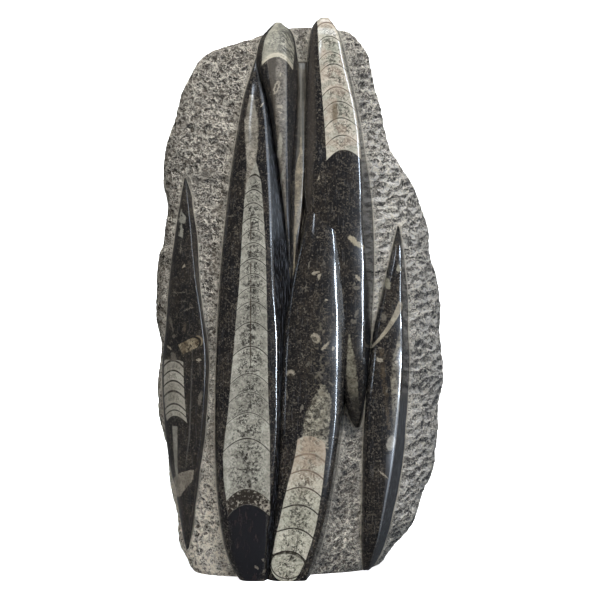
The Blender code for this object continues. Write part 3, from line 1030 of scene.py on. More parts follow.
# %% Helpers for flanks and flecks
FLANK_DARK = shade(16, 17, 20)
FLANK_SCRATCH_SHEEN = shade(92, 97, 106)
DULLED = 0.55
FLECK_WARPS = ((2.2, 2.4), (0.8, 1.6))
ANY_DEPTH = 1000
PALE = shade(160, 152, 136)
DULL = shade(104, 99, 90)


def past_arris(t, here, name, column):
    """How far the place lies beyond a blade's arris, column 1 of its table, or its outer edge, column 2."""
    x, _, z = t.split(here)
    return t.calc("SUBTRACT", x, curve(t, z, [(row[0], row[column]) for row in ARRISES[name]]))


def flank(t, here, under, name):
    """The steep side beyond a blade's arris: dark and bluish, with upright scratches that are partly painted
    sheen.
    """
    beyond = t.ramp(past_arris(t, here, name, 2), 0.3, 1.2, 0, 0.85)
    # Pale bluish upright streaks: partly grinding scratches, partly painted sheen.
    scratch_sheen = t.noise(t.vector("MULTIPLY", here, (1, 1, 0.04)), 0.6, 3, 0.6)
    return t.mix(beyond, under, t.mix(t.ramp(scratch_sheen, 0.5, 0.66), FLANK_DARK, FLANK_SCRATCH_SHEEN))


def dulled(t, here, name, where):
    """Roughness of a polished blade whose arris and flank were left duller where this mask is 1."""
    dull = t.times(t.ramp(past_arris(t, here, name, 1), -1.8, -0.8), where)
    return t.ramp(dull, 0, 1, POLISHED, DULLED)


def local(t, place, x, z, lean=0, wide=1, long=1):
    """The place as seen from (x, z), leaning by degrees, in units of a width and a length."""
    inputs = {"Vector": place, "Location": (x, 0, z), "Rotation": (0, math.radians(lean), 0)}
    inputs["Scale"] = (wide, ANY_DEPTH, long)
    return t.add("ShaderNodeMapping", inputs, vector_type="TEXTURE").outputs[0]


def flecks(t, here, under, rows):
    """Ovals over the ground: rows of middle X and Z, half length, half width, lean in degrees and tone."""
    wobbly = t.warped(here, *FLECK_WARPS)
    grain = t.ramp(t.noise(here, 1.1, 3, 0.7), 0.35, 0.6, 0.55, 1)
    for x, z, long, wide, lean, tone in rows:
        mask = t.ramp(t.vector("LENGTH", local(t, wobbly, x, z, lean, wide, long)), 0.8, 1.15, 1, 0)
        under = t.mix(t.times(mask, grain), under, tone)
    return under


print("arrises drawn for:", ", ".join(ARRISES))

# %% [markdown]
# ## The long left blade
# Along this blade runs the largest shell. Its chambers widen downwards to the living chamber, which filled
# with black mud and polished like jet. A thin dark thread down its middle is the siphuncle, the tube that
# ran through all the chambers. Above its tip the blade shows a grey patch of spar, lightened as a painted
# reflection of the sky.

# %% The largest shell
LONG_SHELL = (
    [
        (36, -45.5), (47, -47.5), (53, -47.9), (65, -49.6), (80, -50.1), (94, -48.7), (113, -46.3),
        (132, -44.8), (151, -42.9), (170, -41.5), (185, -40.1), (199, -39.2), (214, -38.3), (233, -37.4),
        (247, -36.5), (259, -34.7), (268, -31), (273, -28.8),
    ],
    [
        (36, -19.5), (47, -19), (65, -19.1), (94, -19.1), (113, -20), (132, -20.5), (175, -21), (194, -21.5),
        (214, -22), (233, -23.1), (247, -24.1), (259, -25.1), (268, -27.2), (273, -28.7),
    ],
)
LONG_SEPTA = [
    59.2, 92.5, 109.1, 122.4, 134.3, 152, 167.7, 181, 190.1, 199.2, 208.8, 219.4, 227.6, 235.8, 245.5, 254.2,
    263.9,
]
LONG_TONES = ((180, 178, 166), (143, 141, 131), (38, 36, 34))
GREY_PATCH = (
    [(245, -36.5), (270, -35.5), (300, -37), (318, -33.5)],
    [(245, -34), (262, -29), (285, -27), (300, -27), (318, -30)],
)

t, here, colour = begin("left_long")
x, _, z = t.split(here)
# Grey spar, its tone lightened as a painted reflection of the sky.
grey = spar(t, here, ((158, 152, 140), (132, 127, 116), (76, 71, 64)), 0.85)
colour = patch(t, here, colour, GREY_PATCH, grey, soft=1.2, wobble=1.6)
colour, within, level = shell(
    t, here, colour, LONG_SHELL, LONG_SEPTA, LONG_TONES, low_end=49.7, sag=0.29, speckle=0.95
)
print("the largest shell has", len(LONG_SEPTA), "chamber walls")

# %% [markdown]
# ## Siphuncle, last chambers and mud
# The siphuncle shows only where the cut passes through it, so its thread is broken. Below the last wall lies
# a lens of dark grains with pale crystals, and under it the mud of the living chamber, with rusty upright
# streaks. A few cracks run through the lowest chambers.

# %% Finish of the long left blade
SIPHUNCLE_X = -31.4
SIPHUNCLE = shade(58, 50, 44)
LIVING_CHAMBER = (
    [(-1, -37), (8, -43), (20, -46.5), (50, -48.5)],
    [(-1, -25), (8, -21.5), (20, -19.5), (50, -18.5)],
)
CRACK = shade(38, 34, 31)
LEFT_LONG_FLECKS = [
    (-30, 314, 2.4, 0.8, 65, DULL), (-25, 311, 2, 0.6, 40, PALE), (-12, 197, 3, 0.7, 5, DULL),
    (-12.5, 178, 1.2, 0.5, 20, PALE), (-46, 237, 0.4, 3, 8, DULL), (-13, 240, 1.4, 0.5, -20, PALE),
    (-14, 262, 1.6, 0.4, 30, PALE), (-34.5, 72, 0.5, 6, 3, CRACK), (-35, 80, 3.4, 0.6, 12, CRACK),
    (-32.5, 63, 3.2, 1.2, -8, CRACK), (-30, 76, 2.5, 0.4, 30, CRACK), (-22, 7, 3, 0.9, 55, DULL),
    (-28, 9, 0.9, 1.8, 30, DULL), (-23.5, 14, 1.4, 0.5, 20, DULL),
]

off_tube = t.calc("ADD", t.calc("SUBTRACT", x, SIPHUNCLE_X), t.noise(here, 4, 3, 0.6))
tube = t.times(t.ramp(t.calc("ABSOLUTE", off_tube), 0.2, 0.7, 0.85, 0), t.ramp(t.noise(here, 5), 0.38, 0.5))
tube = t.times(tube, within, t.ramp(z, 100, 150), t.ramp(z, 225, 258, 1, 0))
colour = t.mix(tube, colour, SIPHUNCLE)
grains = t.calc("ADD", t.noise(here, 1.7, 4, 0.7), t.ramp(x, -33, -20, 0, 0.12))
lens = t.mix(t.ramp(grains, 0.54, 0.66), shade(42, 37, 33), shade(158, 152, 138))
colour = t.mix(t.times(t.ramp(level, 58, 60, 1, 0), within), colour, lens)
streaks = t.noise(t.vector("MULTIPLY", here, (1, 1, 0.3)), 2.5, 4, 0.7)
mud = t.mix(t.ramp(streaks, 0.54, 0.68, 0, 0.5), shade(24, 24, 28), shade(58, 46, 44))
under_wall = t.ramp(level, 49, 49.8, 1, 0)
colour = patch(t, here, colour, LIVING_CHAMBER, mud, under_wall, soft=4, wobble=2)
colour = flecks(t, here, colour, LEFT_LONG_FLECKS)
colour = flank(t, here, colour, "left_long")
polish("left_long", t, colour, dulled(t, here, "left_long", t.ramp(z, 205, 245)))

# %% [markdown]
# ## The short blade at the top
# This blade carries a pale cap of shell with slanting growth lines, and under it the shell's brown-grey
# filling, lightened as a painted reflection of the sky. A thin pale rim marks the cap's lower end.

# %% The cap of the short blade
FILLING = (
    [(225, -9), (262, -13), (290, -15.5), (315, -18), (342, -22.5)],
    [(225, -8), (262, -9), (300, -8.2), (342, -8.5)],
)
BROWN_SIDE = ([(300, -17), (322, -20), (345, -22.5)], [(300, -15), (322, -15), (345, -15)])
CAP = (
    [(334, -25.5), (346, -25), (355, -23.5), (363, -20.5), (370, -16)],
    [(334, -4.5), (346, -3.5), (355, -4), (363, -6.5), (370, -10)],
)
CAP_SEPTA = [330, 344, 380]
CAP_TONES = ((166, 163, 148), (130, 129, 118), (72, 70, 66))

t, here, colour = begin("top_short")
# The filling's own brown-grey, lightened as a painted reflection.
filling_and_sheen = spar(t, here, ((126, 120, 110), (104, 98, 88), (58, 53, 47)), 0.85)
colour = patch(t, here, colour, FILLING, filling_and_sheen, soft=0.8)
colour = patch(t, here, colour, BROWN_SIDE, shade(66, 60, 52), 0.8, soft=1.5)
colour, within, level = shell(
    t, here, colour, CAP, CAP_SEPTA, CAP_TONES, low_end=342.5, sag=0.32, skew=0.1, line=0.1, speckle=0.8
)
print("the cap's edges are given from", CAP[0][0][0], "to", CAP[0][-1][0], "mm")

# %% [markdown]
# ## Growth lines of the cap
# Growth lines are stretched noise, turned by about forty degrees, and kept to the cap's right half. The
# blade's polish is softer than the others', so its reflection is weaker and wider.

# %% Finish of the short top blade
GROWTH_TURN = 0.7
GROWTH_TONE = shade(58, 56, 52)
RIM_TONE = shade(204, 196, 176)
TOP_SHORT_FLECKS = [
    (-15.2, 321.9, 4.8, 1.7, 18, PALE), (-15.2, 321.9, 3.2, 0.9, 18, shade(70, 64, 56)),
    (-12.7, 331, 1.2, 0.8, 0, PALE), (-13.2, 309, 1, 2, 10, PALE), (-13, 305.5, 1.6, 0.5, -60, PALE),
    (-10.5, 301, 0.8, 0.6, 0, PALE), (-13, 283, 8.5, 1.7, 4, shade(150, 146, 134)),
    (-12, 261, 8, 0.9, 12, shade(134, 131, 122)), (-6.5, 300, 1.2, 0.4, 0, DULL),
    (-5.5, 285, 1, 0.4, 0, DULL),
]

slanting = t.vector("MULTIPLY", t.turned(here, GROWTH_TURN), (1, 0.3, 0.22))
growth = t.ramp(t.noise(slanting, 1.3), 0.46, 0.56, 0, 0.8)
growth = t.times(growth, t.ramp(t.split(here)[0], -15, -10), within, t.ramp(level, 345, 346.5))
colour = t.mix(growth, colour, GROWTH_TONE)
rim = t.times(within, t.ramp(level, 345, 346, 0.7, 0), t.ramp(t.noise(here, 1.8, 3), 0.36, 0.5, 0.4, 1))
colour = t.mix(rim, colour, RIM_TONE)
colour = flecks(t, here, colour, TOP_SHORT_FLECKS)
polish("top_short", t, colour, roughness=0.5, gloss=0.2)

# %% [markdown]
# ## The rib in the valley
# Between the long blades a low rib was polished too. It is grey-brown, with a paler streak of shell that runs
# down into the fork.

# %% Finish of the valley rib
SMOKY_BED = ([(232, -3), (262, -3.5), (290, -2.5), (345, -2.5)], [(232, 1), (262, 4), (300, 6), (345, 6)])
LIGHT_STRIPE = ([(268, 1), (300, 0), (340, 0)], [(268, 2.5), (300, 1.6), (340, 2)])
SHELL_STREAK = (
    [(190, -4.6), (224, -4.2), (235, -3.8), (255, -3.4), (267, -3.4), (280, -0.5), (290, 0.2)],
    [(190, -3.8), (224, -2), (235, 0.8), (255, 2.4), (267, 2.2), (280, 2.2), (290, 1.6)],
)

t, here, colour = begin("valley_rib")
smoky = spar(t, here, ((88, 84, 74), (72, 68, 60), (50, 46, 40)), 0.5)
colour = patch(t, here, colour, SMOKY_BED, smoky, 0.85, soft=2)
colour = patch(t, here, colour, LIGHT_STRIPE, shade(140, 136, 124), 0.45, soft=1.2)
streak = spar(t, here, ((148, 138, 118), (120, 112, 96), (70, 64, 56)), 0.7)
colour = patch(t, here, colour, SHELL_STREAK, streak, soft=0.6, wobble=1.4)
polish("valley_rib", t, colour, roughness=0.3, gloss=0.4)

# %% [markdown]
# ## The long right blade
# A second shell fills the upper half of this blade. Its last chamber ends in a clean arc, and black filling
# follows. The spar is tinted pink in places, and one wall has a brown stain.

# %% The shell of the long right blade
RIGHT_SHELL = (
    [
        (268, 17.4), (277, 17.4), (284, 16.9), (295, 16.4), (306, 15.4), (317, 14.6), (328, 13.7),
        (340, 12.7), (351, 12.1), (374, 11.4),
    ],
    [
        (268, 42), (277, 41.3), (285, 40.2), (296, 39.3), (307, 37.7), (319, 35.4), (330, 33.3), (341, 31.1),
        (352, 28.3), (363, 25.5), (374, 23),
    ],
)
RIGHT_SEPTA = [280.4, 290.4, 302, 313.1, 322.5, 338.2, 346.1, 357.2, 368]
RIGHT_TONES = ((205, 196, 181), (172, 172, 158), (50, 50, 44))
LEFT_FLANK_AND_SHEEN = ([(240, 3), (290, 3), (340, 4.5), (371, 8)], [(240, 8), (290, 12), (340, 11.5), (371, 12)])
PINK = shade(182, 162, 146)
STAIN_X = 23
STAIN = shade(92, 78, 58)

t, here, colour = begin("right_long")
x, _, z = t.split(here)
colour, within, level = shell(
    t, here, colour, RIGHT_SHELL, RIGHT_SEPTA, RIGHT_TONES, low_end=280.4, sag=0.31, line=0.32, speckle=0.9
)
colour = t.mix(t.times(within, t.ramp(t.noise(here, 9), 0.48, 0.6, 0, 0.35)), colour, PINK)
# A lighter grey-brown on the left flank, which faces left and up: partly its own tone, partly painted sheen.
colour = patch(t, here, colour, LEFT_FLANK_AND_SHEEN, shade(74, 68, 62), 0.6, soft=3)
stain = t.times(t.ramp(t.gap(x, STAIN_X), 0.5, 3, 0.7, 0), t.ramp(z, 296, 303), t.ramp(z, 310, 316, 1, 0))
colour = t.mix(t.times(stain, within), colour, STAIN)
print("this shell has", len(RIGHT_SEPTA), "chamber walls")

# %% [markdown]
# ## Below the right shell
# The lower half of the blade is black ground strewn with small pale shells. Near its foot lies one crushed,
# speckled shell, which fades out downwards.

# %% Finish of the long right blade
LOW_PATCH = (
    [(104, 36.5), (120, 31.5), (132, 29.5), (145, 30.5), (160, 31.5)],
    [(104, 40), (120, 39), (132, 38), (145, 36), (160, 33)],
)
RIGHT_LONG_FLECKS = [
    (34.8, 221.4, 3.6, 2, -50, shade(168, 158, 136)), (38.6, 218, 4.2, 1.7, -62, shade(158, 150, 128)),
    (43, 213.6, 3, 0.5, -40, DULL), (37.8, 196.4, 3, 1, -35, PALE), (37.2, 189.8, 1.6, 2, 0, DULL),
    (35.5, 192.5, 1.6, 0.7, 30, DULL), (22.5, 226, 0.9, 0.7, 0, PALE), (26, 213, 0.8, 0.6, 0, DULL),
    (29, 206, 1.1, 0.5, 40, DULL), (37, 173, 2.6, 1, 20, DULL), (35, 168, 1.4, 2.2, 0, DULL),
    (43.5, 170, 5, 0.5, 8, DULL), (12.5, 262, 1.8, 0.4, 10, PALE), (14, 335, 3.4, 0.5, 4, PALE),
    (34, 268, 1.6, 0.4, 30, DULL),
]

speckled = spar(t, here, ((140, 136, 120), (110, 105, 92), (52, 48, 42)), 0.9)
colour = patch(t, here, colour, LOW_PATCH, speckled, t.ramp(z, 116, 124, 0.15, 1), soft=1, wobble=2.5)
colour = flecks(t, here, colour, RIGHT_LONG_FLECKS)
colour = flank(t, here, colour, "right_long")
polish("right_long", t, colour)

# %% [markdown]
# ## The centre blade
# The shell at the foot of this blade is the cleanest one: each chamber wall shows as a fine dark arc, and its
# tone turns from pinkish tan to grey-white. Above it the crushed remains of more shells are scattered.

# %% Beds of crushed shell
CRUSHED_TIP = (
    [(86, 0), (108, 3.2), (120, 9.1), (127, 13.6)],
    [(86, 18.6), (108, 20.4), (118, 21.4), (127, 17)],
)
SHELL_BED = ([(120, 2), (150, 6), (190, 10)], [(120, 22), (150, 21), (190, 17)])

t, here, colour = begin("centre")
crumbs = t.noise(here, 2.2, 4, 0.7)
tip = spar(t, here, ((172, 167, 150), (136, 131, 116), (44, 40, 35)), 0.9)
colour = patch(t, here, colour, CRUSHED_TIP, tip, t.ramp(crumbs, 0.42, 0.54, 0.25, 1), soft=1.2, wobble=3)
bits = t.ramp(t.noise(here, 2.2, 4, 0.65), 0.53, 0.6, 0, 0.5)
colour = patch(t, here, colour, SHELL_BED, shade(120, 113, 98), bits, soft=5, wobble=5)
print("beds of crushed shell reach up to", SHELL_BED[0][-1][0], "mm")

# %% [markdown]
# ## The cleanest shell
# The shell is worked out with its pink upper chambers, the dark ring of the one chamber that is cut almost
# level, and two cracks. Only then is it laid over the beds, cut off at its last wall.

# %% The shell of the centre blade
CENTRE_SHELL = (
    [
        (0, -12), (2, -15.5), (5, -18), (8, -19.1), (15.5, -18.2), (27, -16.2), (39, -13.3), (52, -10.5),
        (64, -7.6), (74, -4.8), (83, -2.9), (97, -0.8),
    ],
    [
        (0, -5), (2, -2), (5, 0), (13.6, 4), (24, 7.6), (35.5, 10.7), (49, 13), (61, 14.8), (73.5, 16.3),
        (83, 17.1), (97, 16.2),
    ],
)
CENTRE_SEPTA = [-30, 19.1, 34.3, 49.5, 60.9, 71.8, 82.2, 95]
CENTRE_TONES = ((208, 204, 188), (178, 176, 160), (50, 48, 43))
CENTRE_CRACKS = [
    ([(18, -3), (24, -2.2), (31, -1.7)], [(18, -2.2), (24, -1), (31, -1.1)]),
    ([(14, -7), (22, -3.4)], [(14, -6), (22, -2.6)]),
]

tinted, within, level = shell(
    t, here, colour, CENTRE_SHELL, CENTRE_SEPTA, CENTRE_TONES,
    low_end=-5, sag=0.19, skew=0.15, line=1.0, speckle=0.95,
)
pink = t.times(t.ramp(t.split(here)[2], 48, 84, 0, 0.62), t.ramp(t.noise(here, 5), 0.36, 0.52, 0.45, 1))
tinted = t.mix(pink, tinted, shade(166, 146, 127))
off_ring = t.gap(t.vector("LENGTH", local(t, here, -7.8, 10.8, wide=11, long=9)), 1)
tinted = t.mix(t.ramp(off_ring, 0.025, 0.06, 0.9, 0), tinted, shade(36, 31, 27))
for crack in CENTRE_CRACKS:
    tinted = patch(t, here, tinted, crack, shade(34, 30, 27), 0.9, soft=0.5, wobble=1.2)
colour = t.mix(t.times(within, t.ramp(level, 93.5, 94.2, 1, 0)), colour, tinted)
print("this shell has", len(CENTRE_CRACKS), "cracks")

# %% [markdown]
# ## Loose pieces of the centre blade
# The loose pieces are ovals. Two of them are hollow: a smaller oval of ground lies on the pale one.

# %% Finish of the centre blade
CENTRE_FLECKS = [
    (-6, 134.5, 2.2, 2.8, 0, PALE), (-6, 132.5, 2.4, 1.8, 0, GROUND_BROWN),
    (10.4, 157.4, 3.6, 2.6, -30, PALE), (9.6, 157, 1.8, 1.2, -30, GROUND_BROWN),
    (16.4, 152, 3.6, 1, 45, PALE), (21.6, 150.5, 1.7, 1, 20, PALE),
    (12.3, 135, 1, 3, 0, DULL), (13.5, 132.5, 2.4, 0.8, -40, DULL), (16.9, 182, 0.9, 1.1, 0, PALE),
    (10.4, 199.6, 1, 2.6, -12, PALE), (12.6, 197, 2.4, 0.7, 25, PALE), (3.2, 175.5, 1.5, 0.5, 0, DULL),
    (15.5, 206.5, 1.3, 0.8, 0, DULL), (11.8, 222.8, 0.8, 0.8, 0, DULL), (6, 205, 2.6, 0.5, 10, DULL),
    (4, 190, 3, 0.4, 6, DULL), (2, 146, 2.2, 0.6, -30, DULL), (5.5, 141, 1.3, 1.3, 0, DULL),
    (20, 128, 0.8, 2.4, 30, DULL), (1.5, 112, 2.6, 0.7, 20, DULL), (-8.5, 121, 4, 0.5, -5, DULL),
    (22, 172, 1.5, 0.5, 0, DULL),
]

colour = flecks(t, here, colour, CENTRE_FLECKS)
colour = flank(t, here, colour, "centre")
polish("centre", t, colour)

# %% [markdown]
# ## The left leaf
# A low, leaf-shaped blade at the left edge shows three shells cut at a slant: a plain slanting one, a
# chambered one below it, and a wedge of grey near its foot. The plain one is drawn in a place of its own,
# turned along it: two straight walls, a dark mouth, and a bowed brown lip at its end.

# %% Shells of the left leaf
LEAF_SHELL = (
    [(99, -89), (105, -90.5), (120, -91.6), (141, -91.5), (142, -90)],
    [(99, -74), (105, -75), (120, -76.2), (141, -77), (142, -80)],
)
LEAF_SEPTA = [104, 108.8, 112.7, 121.5, 128.3, 135.1, 141.5]
LEAF_TONES = ((172, 168, 156), (146, 142, 130), (52, 48, 43))

t, here, colour = begin("left_leaf")
colour, *_ = shell(t, here, colour, LEAF_SHELL, LEAF_SEPTA, LEAF_TONES, low_end=105, sag=0.3, speckle=0.6)
along_x, _, across_z = t.split(local(t, here, -71.5, 152.8, lean=-26))
squared = t.times(across_z, across_z)
bowed = t.calc("ADD", along_x, t.times(squared, 0.18))
mouth = t.ramp(t.calc("ADD", along_x, t.times(squared, 0.22)), 5.2, 6)
inner = spar(t, here, ((164, 152, 128), (120, 108, 88), (54, 46, 38)), 1)
inner = t.mix(mouth, inner, shade(30, 27, 25))
inner = t.mix(t.ramp(bowed, 7, 7.5), inner, shade(128, 116, 96))
body = t.times(t.ramp(t.calc("ABSOLUTE", across_z), 3.2, 3.9, 1, 0), t.ramp(along_x, -9, -8))
colour = t.mix(t.times(body, t.ramp(bowed, 8.2, 8.9, 1, 0)), colour, inner)
print("two shells of the left leaf, the chambered one with", len(LEAF_SEPTA), "walls")

# %% [markdown]
# ## Patches of the left leaf
# The wedge, a narrow grey strip above it and a thin line beside them are patches. The star at the top of the
# leaf is made of a few short flecks.

# %% Finish of the left leaf
WEDGE = (
    [(50, -84), (58, -84.5), (62, -85.5), (67, -80), (70, -72)],
    [(50, -80), (56, -76), (62, -71), (67, -69.5), (70, -69.5)],
)
GREY_STRIP = ([(62, -83.2), (80, -84.5), (98, -85.5)], [(62, -80.8), (80, -81), (98, -81)])
THIN_LINE = ([(60, -77.5), (90, -73.8), (150, -71)], [(60, -77), (90, -72.2), (150, -70)])
STAR = shade(142, 140, 130)
LEFT_LEAF_FLECKS = [
    (-78.4, 235.5, 2.4, 2.6, 0, STAR), (-79.2, 239.5, 3.4, 0.6, 14, STAR), (-77, 238, 2.6, 0.6, -30, STAR),
    (-81, 236, 0.6, 2.4, 20, STAR), (-78.9, 228, 4.8, 1.2, -4, STAR), (-80, 226, 2, 1.2, 20, STAR),
    (-79, 217, 4.5, 0.4, 0, DULL), (-76.5, 204.5, 0.7, 1.6, -35, PALE), (-85.5, 166, 5.5, 0.8, -14, DULL),
    (-83.6, 158, 1.4, 1.1, 0, DULL), (-76, 164, 3.5, 1, 8, shade(84, 76, 66)),
    (-75.5, 181, 0.5, 1.6, 10, DULL), (-73, 176, 0.35, 4, -22, DULL), (-66.5, 142.5, 1, 1.8, 0, PALE),
    (-84, 144, 2, 3.4, 70, DULL),
    (-80, 187, 0.35, 5, 0, DULL), (-65.5, 117, 4.4, 1.3, 8, DULL), (-87.2, 150, 0.6, 2.4, 35, PALE),
]

wedge = spar(t, here, ((150, 143, 130), (120, 113, 102), (70, 65, 58)), 0.7)
colour = patch(t, here, colour, WEDGE, wedge, soft=0.6, wobble=1.5)
grey = spar(t, here, ((138, 135, 126), (116, 113, 104), (84, 81, 74)), 0.5)
colour = patch(t, here, colour, GREY_STRIP, grey, soft=0.8)
colour = patch(t, here, colour, THIN_LINE, shade(104, 102, 98), 0.7, soft=0.8)
colour = flecks(t, here, colour, LEFT_LEAF_FLECKS)
polish("left_leaf", t, colour, roughness=0.3, gloss=0.4)

# %% [markdown]
# ## The right leaf
# The right leaf holds a slanting rod of shell that crosses it like a bar, a mottled pale patch below, and a
# small grey cone that points down. The rod widens towards its upper end and bends a little.

# %% Rod of the right leaf
t, here, colour = begin("right_leaf")
z = t.split(here)[2]
across_x, _, along_z = t.split(local(t, here, 59.5, 164.5, lean=34))
half_width = t.ramp(along_z, -19, 19, 0.9, 2.5, smooth=False)
bend = t.times(along_z, along_z, -0.006)
inside = t.calc("SUBTRACT", half_width, t.gap(across_x, bend))
rod = t.times(t.ramp(inside, 0, 0.5), t.ramp(along_z, -19.5, -18), t.ramp(along_z, 17, 18.5, 1, 0))
colour = t.mix(rod, colour, spar(t, here, ((168, 160, 142), (146, 138, 122), (92, 86, 76)), 0.6))
print("the rod takes the finish to", len(t.tree.nodes), "nodes")

# %% [markdown]
# ## Patches of the right leaf
# The pale patch has a brown hem at its left. Both fade out downwards or are laid on thinly, as the grains of
# a crushed shell lie in the mud.

# %% Finish of the right leaf
PALE_PATCH = (
    [(92, 61), (105, 61), (125, 59.5), (140, 60.5), (155, 64), (166, 67)],
    [(92, 64), (105, 66), (125, 68), (140, 68), (155, 68), (166, 68)],
)
BROWN_HEM = ([(96, 57.5), (125, 54), (150, 52)], [(96, 61), (125, 58.5), (150, 56)])
GREY_CONE = ([(30, 52.5), (60, 56), (80, 56.8)], [(30, 53), (60, 59.5), (80, 63.2)])
RIGHT_LEAF_FLECKS = [
    (60.4, 87.5, 5.2, 3.1, 14, shade(150, 146, 136)), (58.9, 192.9, 4, 2, -4, shade(128, 124, 108)),
    (66.4, 203, 2.6, 1.6, 0, shade(140, 136, 122)), (55.9, 170.7, 2.4, 1.6, -8, DULL),
    (53.2, 142.2, 1.3, 2.4, 15, PALE), (53, 150, 0.8, 1.2, 0, DULL), (57.5, 158, 0.6, 1.6, 10, DULL),
    (55, 67, 4.4, 0.5, -48, PALE), (64, 141, 1.1, 1.3, 0, PALE), (49, 104, 1.2, 0.5, 0, DULL),
    (48, 122, 0.5, 1.4, -30, DULL), (58, 122, 2, 0.5, 20, DULL),
]

mottled = spar(t, here, ((150, 144, 128), (118, 112, 98), (56, 50, 44)), 1)
colour = patch(t, here, colour, PALE_PATCH, mottled, t.ramp(z, 95, 130, 0.45, 0.95), soft=1.4, wobble=3)
brown = spar(t, here, ((110, 96, 76), (84, 74, 60), (44, 38, 32)), 1)
colour = patch(t, here, colour, BROWN_HEM, brown, 0.45, soft=1.5, wobble=4)
colour = patch(t, here, colour, GREY_CONE, shade(60, 60, 62), t.ramp(z, 35, 60, 0.2, 0.8), soft=0.6)
colour = flecks(t, here, colour, RIGHT_LEAF_FLECKS)
colour = flank(t, here, colour, "right_leaf")
polish("right_leaf", t, colour, dulled(t, here, "right_leaf", t.ramp(z, 108, 128, 1, 0)))

# %% [markdown]
# ## Into the frame
# The carved stone stands for the solid model's one node and rides on its one body.

carved.name = "fossil_stone_carved"
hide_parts("fossil_stone")
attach(carved, "root")
print(carved.name, "has", len(carved.data.materials), "finishes")

# %% [markdown]
# ## Floor
# A pale sweep stands in for a photographer's paper roll: floor, curve and wall in one sheet. It glows, so
# that it looks white in every view, but it is hidden from reflections and from scattered light, or it would
# fill the black polish with white.

# %% Stage
SWEEP_HALF_WIDTH = 2.5
SWEEP_FRONT = -0.6
SWEEP_BEND = 0.5
SWEEP_RADIUS = 0.6
SWEEP_TOP = 2.6
BEND_STEPS = 17
PAPER_ROUGHNESS = 0.9
PAPER_GLOSS = 0.5


def sweep():
    """The paper roll: a profile of floor, quarter turn and wall, drawn out sideways."""
    turns = np.linspace(0, math.pi / 2, BEND_STEPS)
    profile = [(SWEEP_FRONT, 0.0)]
    profile += [(SWEEP_BEND + SWEEP_RADIUS * math.sin(a), SWEEP_RADIUS * (1 - math.cos(a))) for a in turns]
    profile.append((SWEEP_BEND + SWEEP_RADIUS, SWEEP_TOP))
    corners = [(side * SWEEP_HALF_WIDTH, y, z) for y, z in profile for side in (-1, 1)]
    faces = [(2 * k, 2 * k + 1, 2 * k + 3, 2 * k + 2) for k in range(len(profile) - 1)]
    mesh = bpy.data.meshes.new("paper_sweep")
    mesh.from_pydata(corners, [], faces)
    mesh.polygons.foreach_set("use_smooth", [True] * len(faces))
    paper = bpy.data.objects.new("paper_sweep", mesh)
    bpy.context.scene.collection.objects.link(paper)
    return paper


paper = sweep()
white = bpy.data.materials.new("white_paper")
t = fresh(white)
paper_tone = t.mix(t.noise(object_place(t), 40), shade(244, 244, 244), shade(247, 247, 247))
surface = wire(white, t, paper_tone, PAPER_ROUGHNESS, PAPER_GLOSS)
surface.inputs["Emission Color"].default_value = (1, 1, 1, 1)
surface.inputs["Emission Strength"].default_value = 1
paper.data.materials.append(white)
paper.visible_glossy = False
paper.visible_diffuse = False

# %% [markdown]
# ## Light
# Black polish shows lights rather than colour, and rough stone shows shadows, so each gets lamps of its own.
# The glints are seen in reflections alone: two narrow windows at the right draw a thin bright line along the
# arrises, a short streak does so at the upper left, and two pale skies give the polish its soft grey sheen.
# The soft lamps never show in the polish: one overhead and from the front that models the chisel marks, a
# weak fill, one for the back, and one that is focused on the block's left foot. A last lamp at the right does
# both. The room itself stays dim, or the black would turn grey. Places are in metres.

# %% Lights
ROOM_TONE = (0.94, 0.97, 1, 1)
ROOM_STRENGTH = 0.13
FOOT_SPREAD = 24


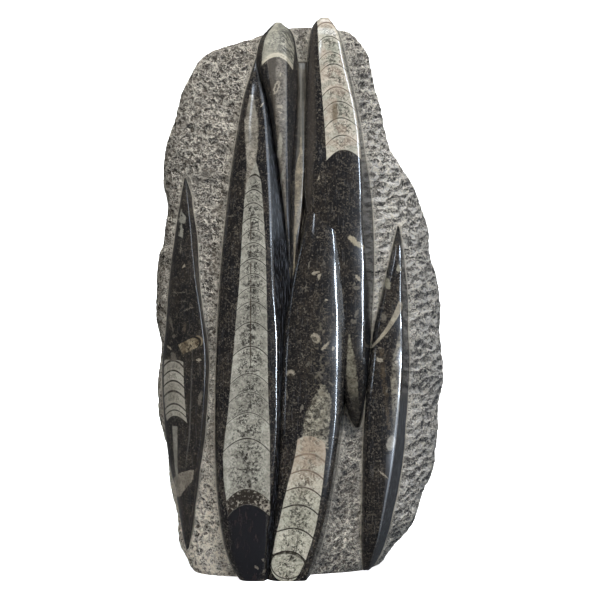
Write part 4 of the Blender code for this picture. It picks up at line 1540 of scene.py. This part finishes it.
def area_light(name, place, aim, width, height, power, tint=(1, 1, 1), spread=180):
    """A rectangular light that faces a point, its power in watts and its spread in degrees."""
    data = bpy.data.lights.new(name, "AREA")
    data.shape = "RECTANGLE"
    data.size, data.size_y = width, height
    data.energy, data.color = power, tint
    data.spread = math.radians(spread)
    lamp = bpy.data.objects.new(name, data)
    lamp.location = place
    lamp.rotation_euler = (Vector(aim) - Vector(place)).to_track_quat("-Z", "Y").to_euler()
    bpy.context.scene.collection.objects.link(lamp)
    return lamp


glints = [
    area_light("window", (0.82, -1.26, 0.205), (0, 0, 0.17), 0.16, 0.3, 50, (0.74, 0.85, 1)),
    area_light("sky", (1.5, -0.95, 0.5), (0, 0, 0.2), 0.9, 1.1, 7, (0.8, 0.9, 1)),
    area_light("skylight", (0, -0.35, 1.9), (0, 0, 0.36), 1.2, 0.7, 14, (0.85, 0.92, 1)),
    area_light("streak", (-0.33, -1.1, 1.2), (-0.03, 0, 0.31), 0.1, 0.5, 3, (0.78, 0.87, 1)),
    area_light("upper_window", (0.8, -1.1, 1.0), (0.03, 0, 0.32), 0.1, 0.9, 30, (0.72, 0.84, 1)),
]
for lamp in glints:
    lamp.visible_diffuse = False
soft_lamps = [
    area_light("overhead", (0.35, -0.75, 1.7), (0, 0, 0.2), 0.7, 0.5, 34),
    area_light("fill", (-0.6, -1.5, 0.15), (0, 0, 0.12), 1.0, 0.8, 11),
    area_light("behind", (-0.7, 0.95, 1.2), (0, 0, 0.2), 0.8, 0.8, 9),
    area_light("foot", (-0.5, -0.7, 0.02), (-0.085, 0, 0.0), 0.1, 0.1, 0.055, spread=FOOT_SPREAD),
]
for lamp in soft_lamps:
    lamp.visible_glossy = False
area_light("right", (1.7, -0.1, 0.6), (0, 0, 0.2), 0.8, 0.8, 4.5, (0.82, 0.91, 1))

world = bpy.data.worlds.new("room")
world.use_nodes = True
background = world.node_tree.nodes["Background"]
background.inputs["Color"].default_value = ROOM_TONE
background.inputs["Strength"].default_value = ROOM_STRENGTH
bpy.context.scene.world = world
bpy.context.scene.view_settings.view_transform = "Standard"
print(len(glints), "glints and", len(soft_lamps), "soft lamps")

# %% [markdown]
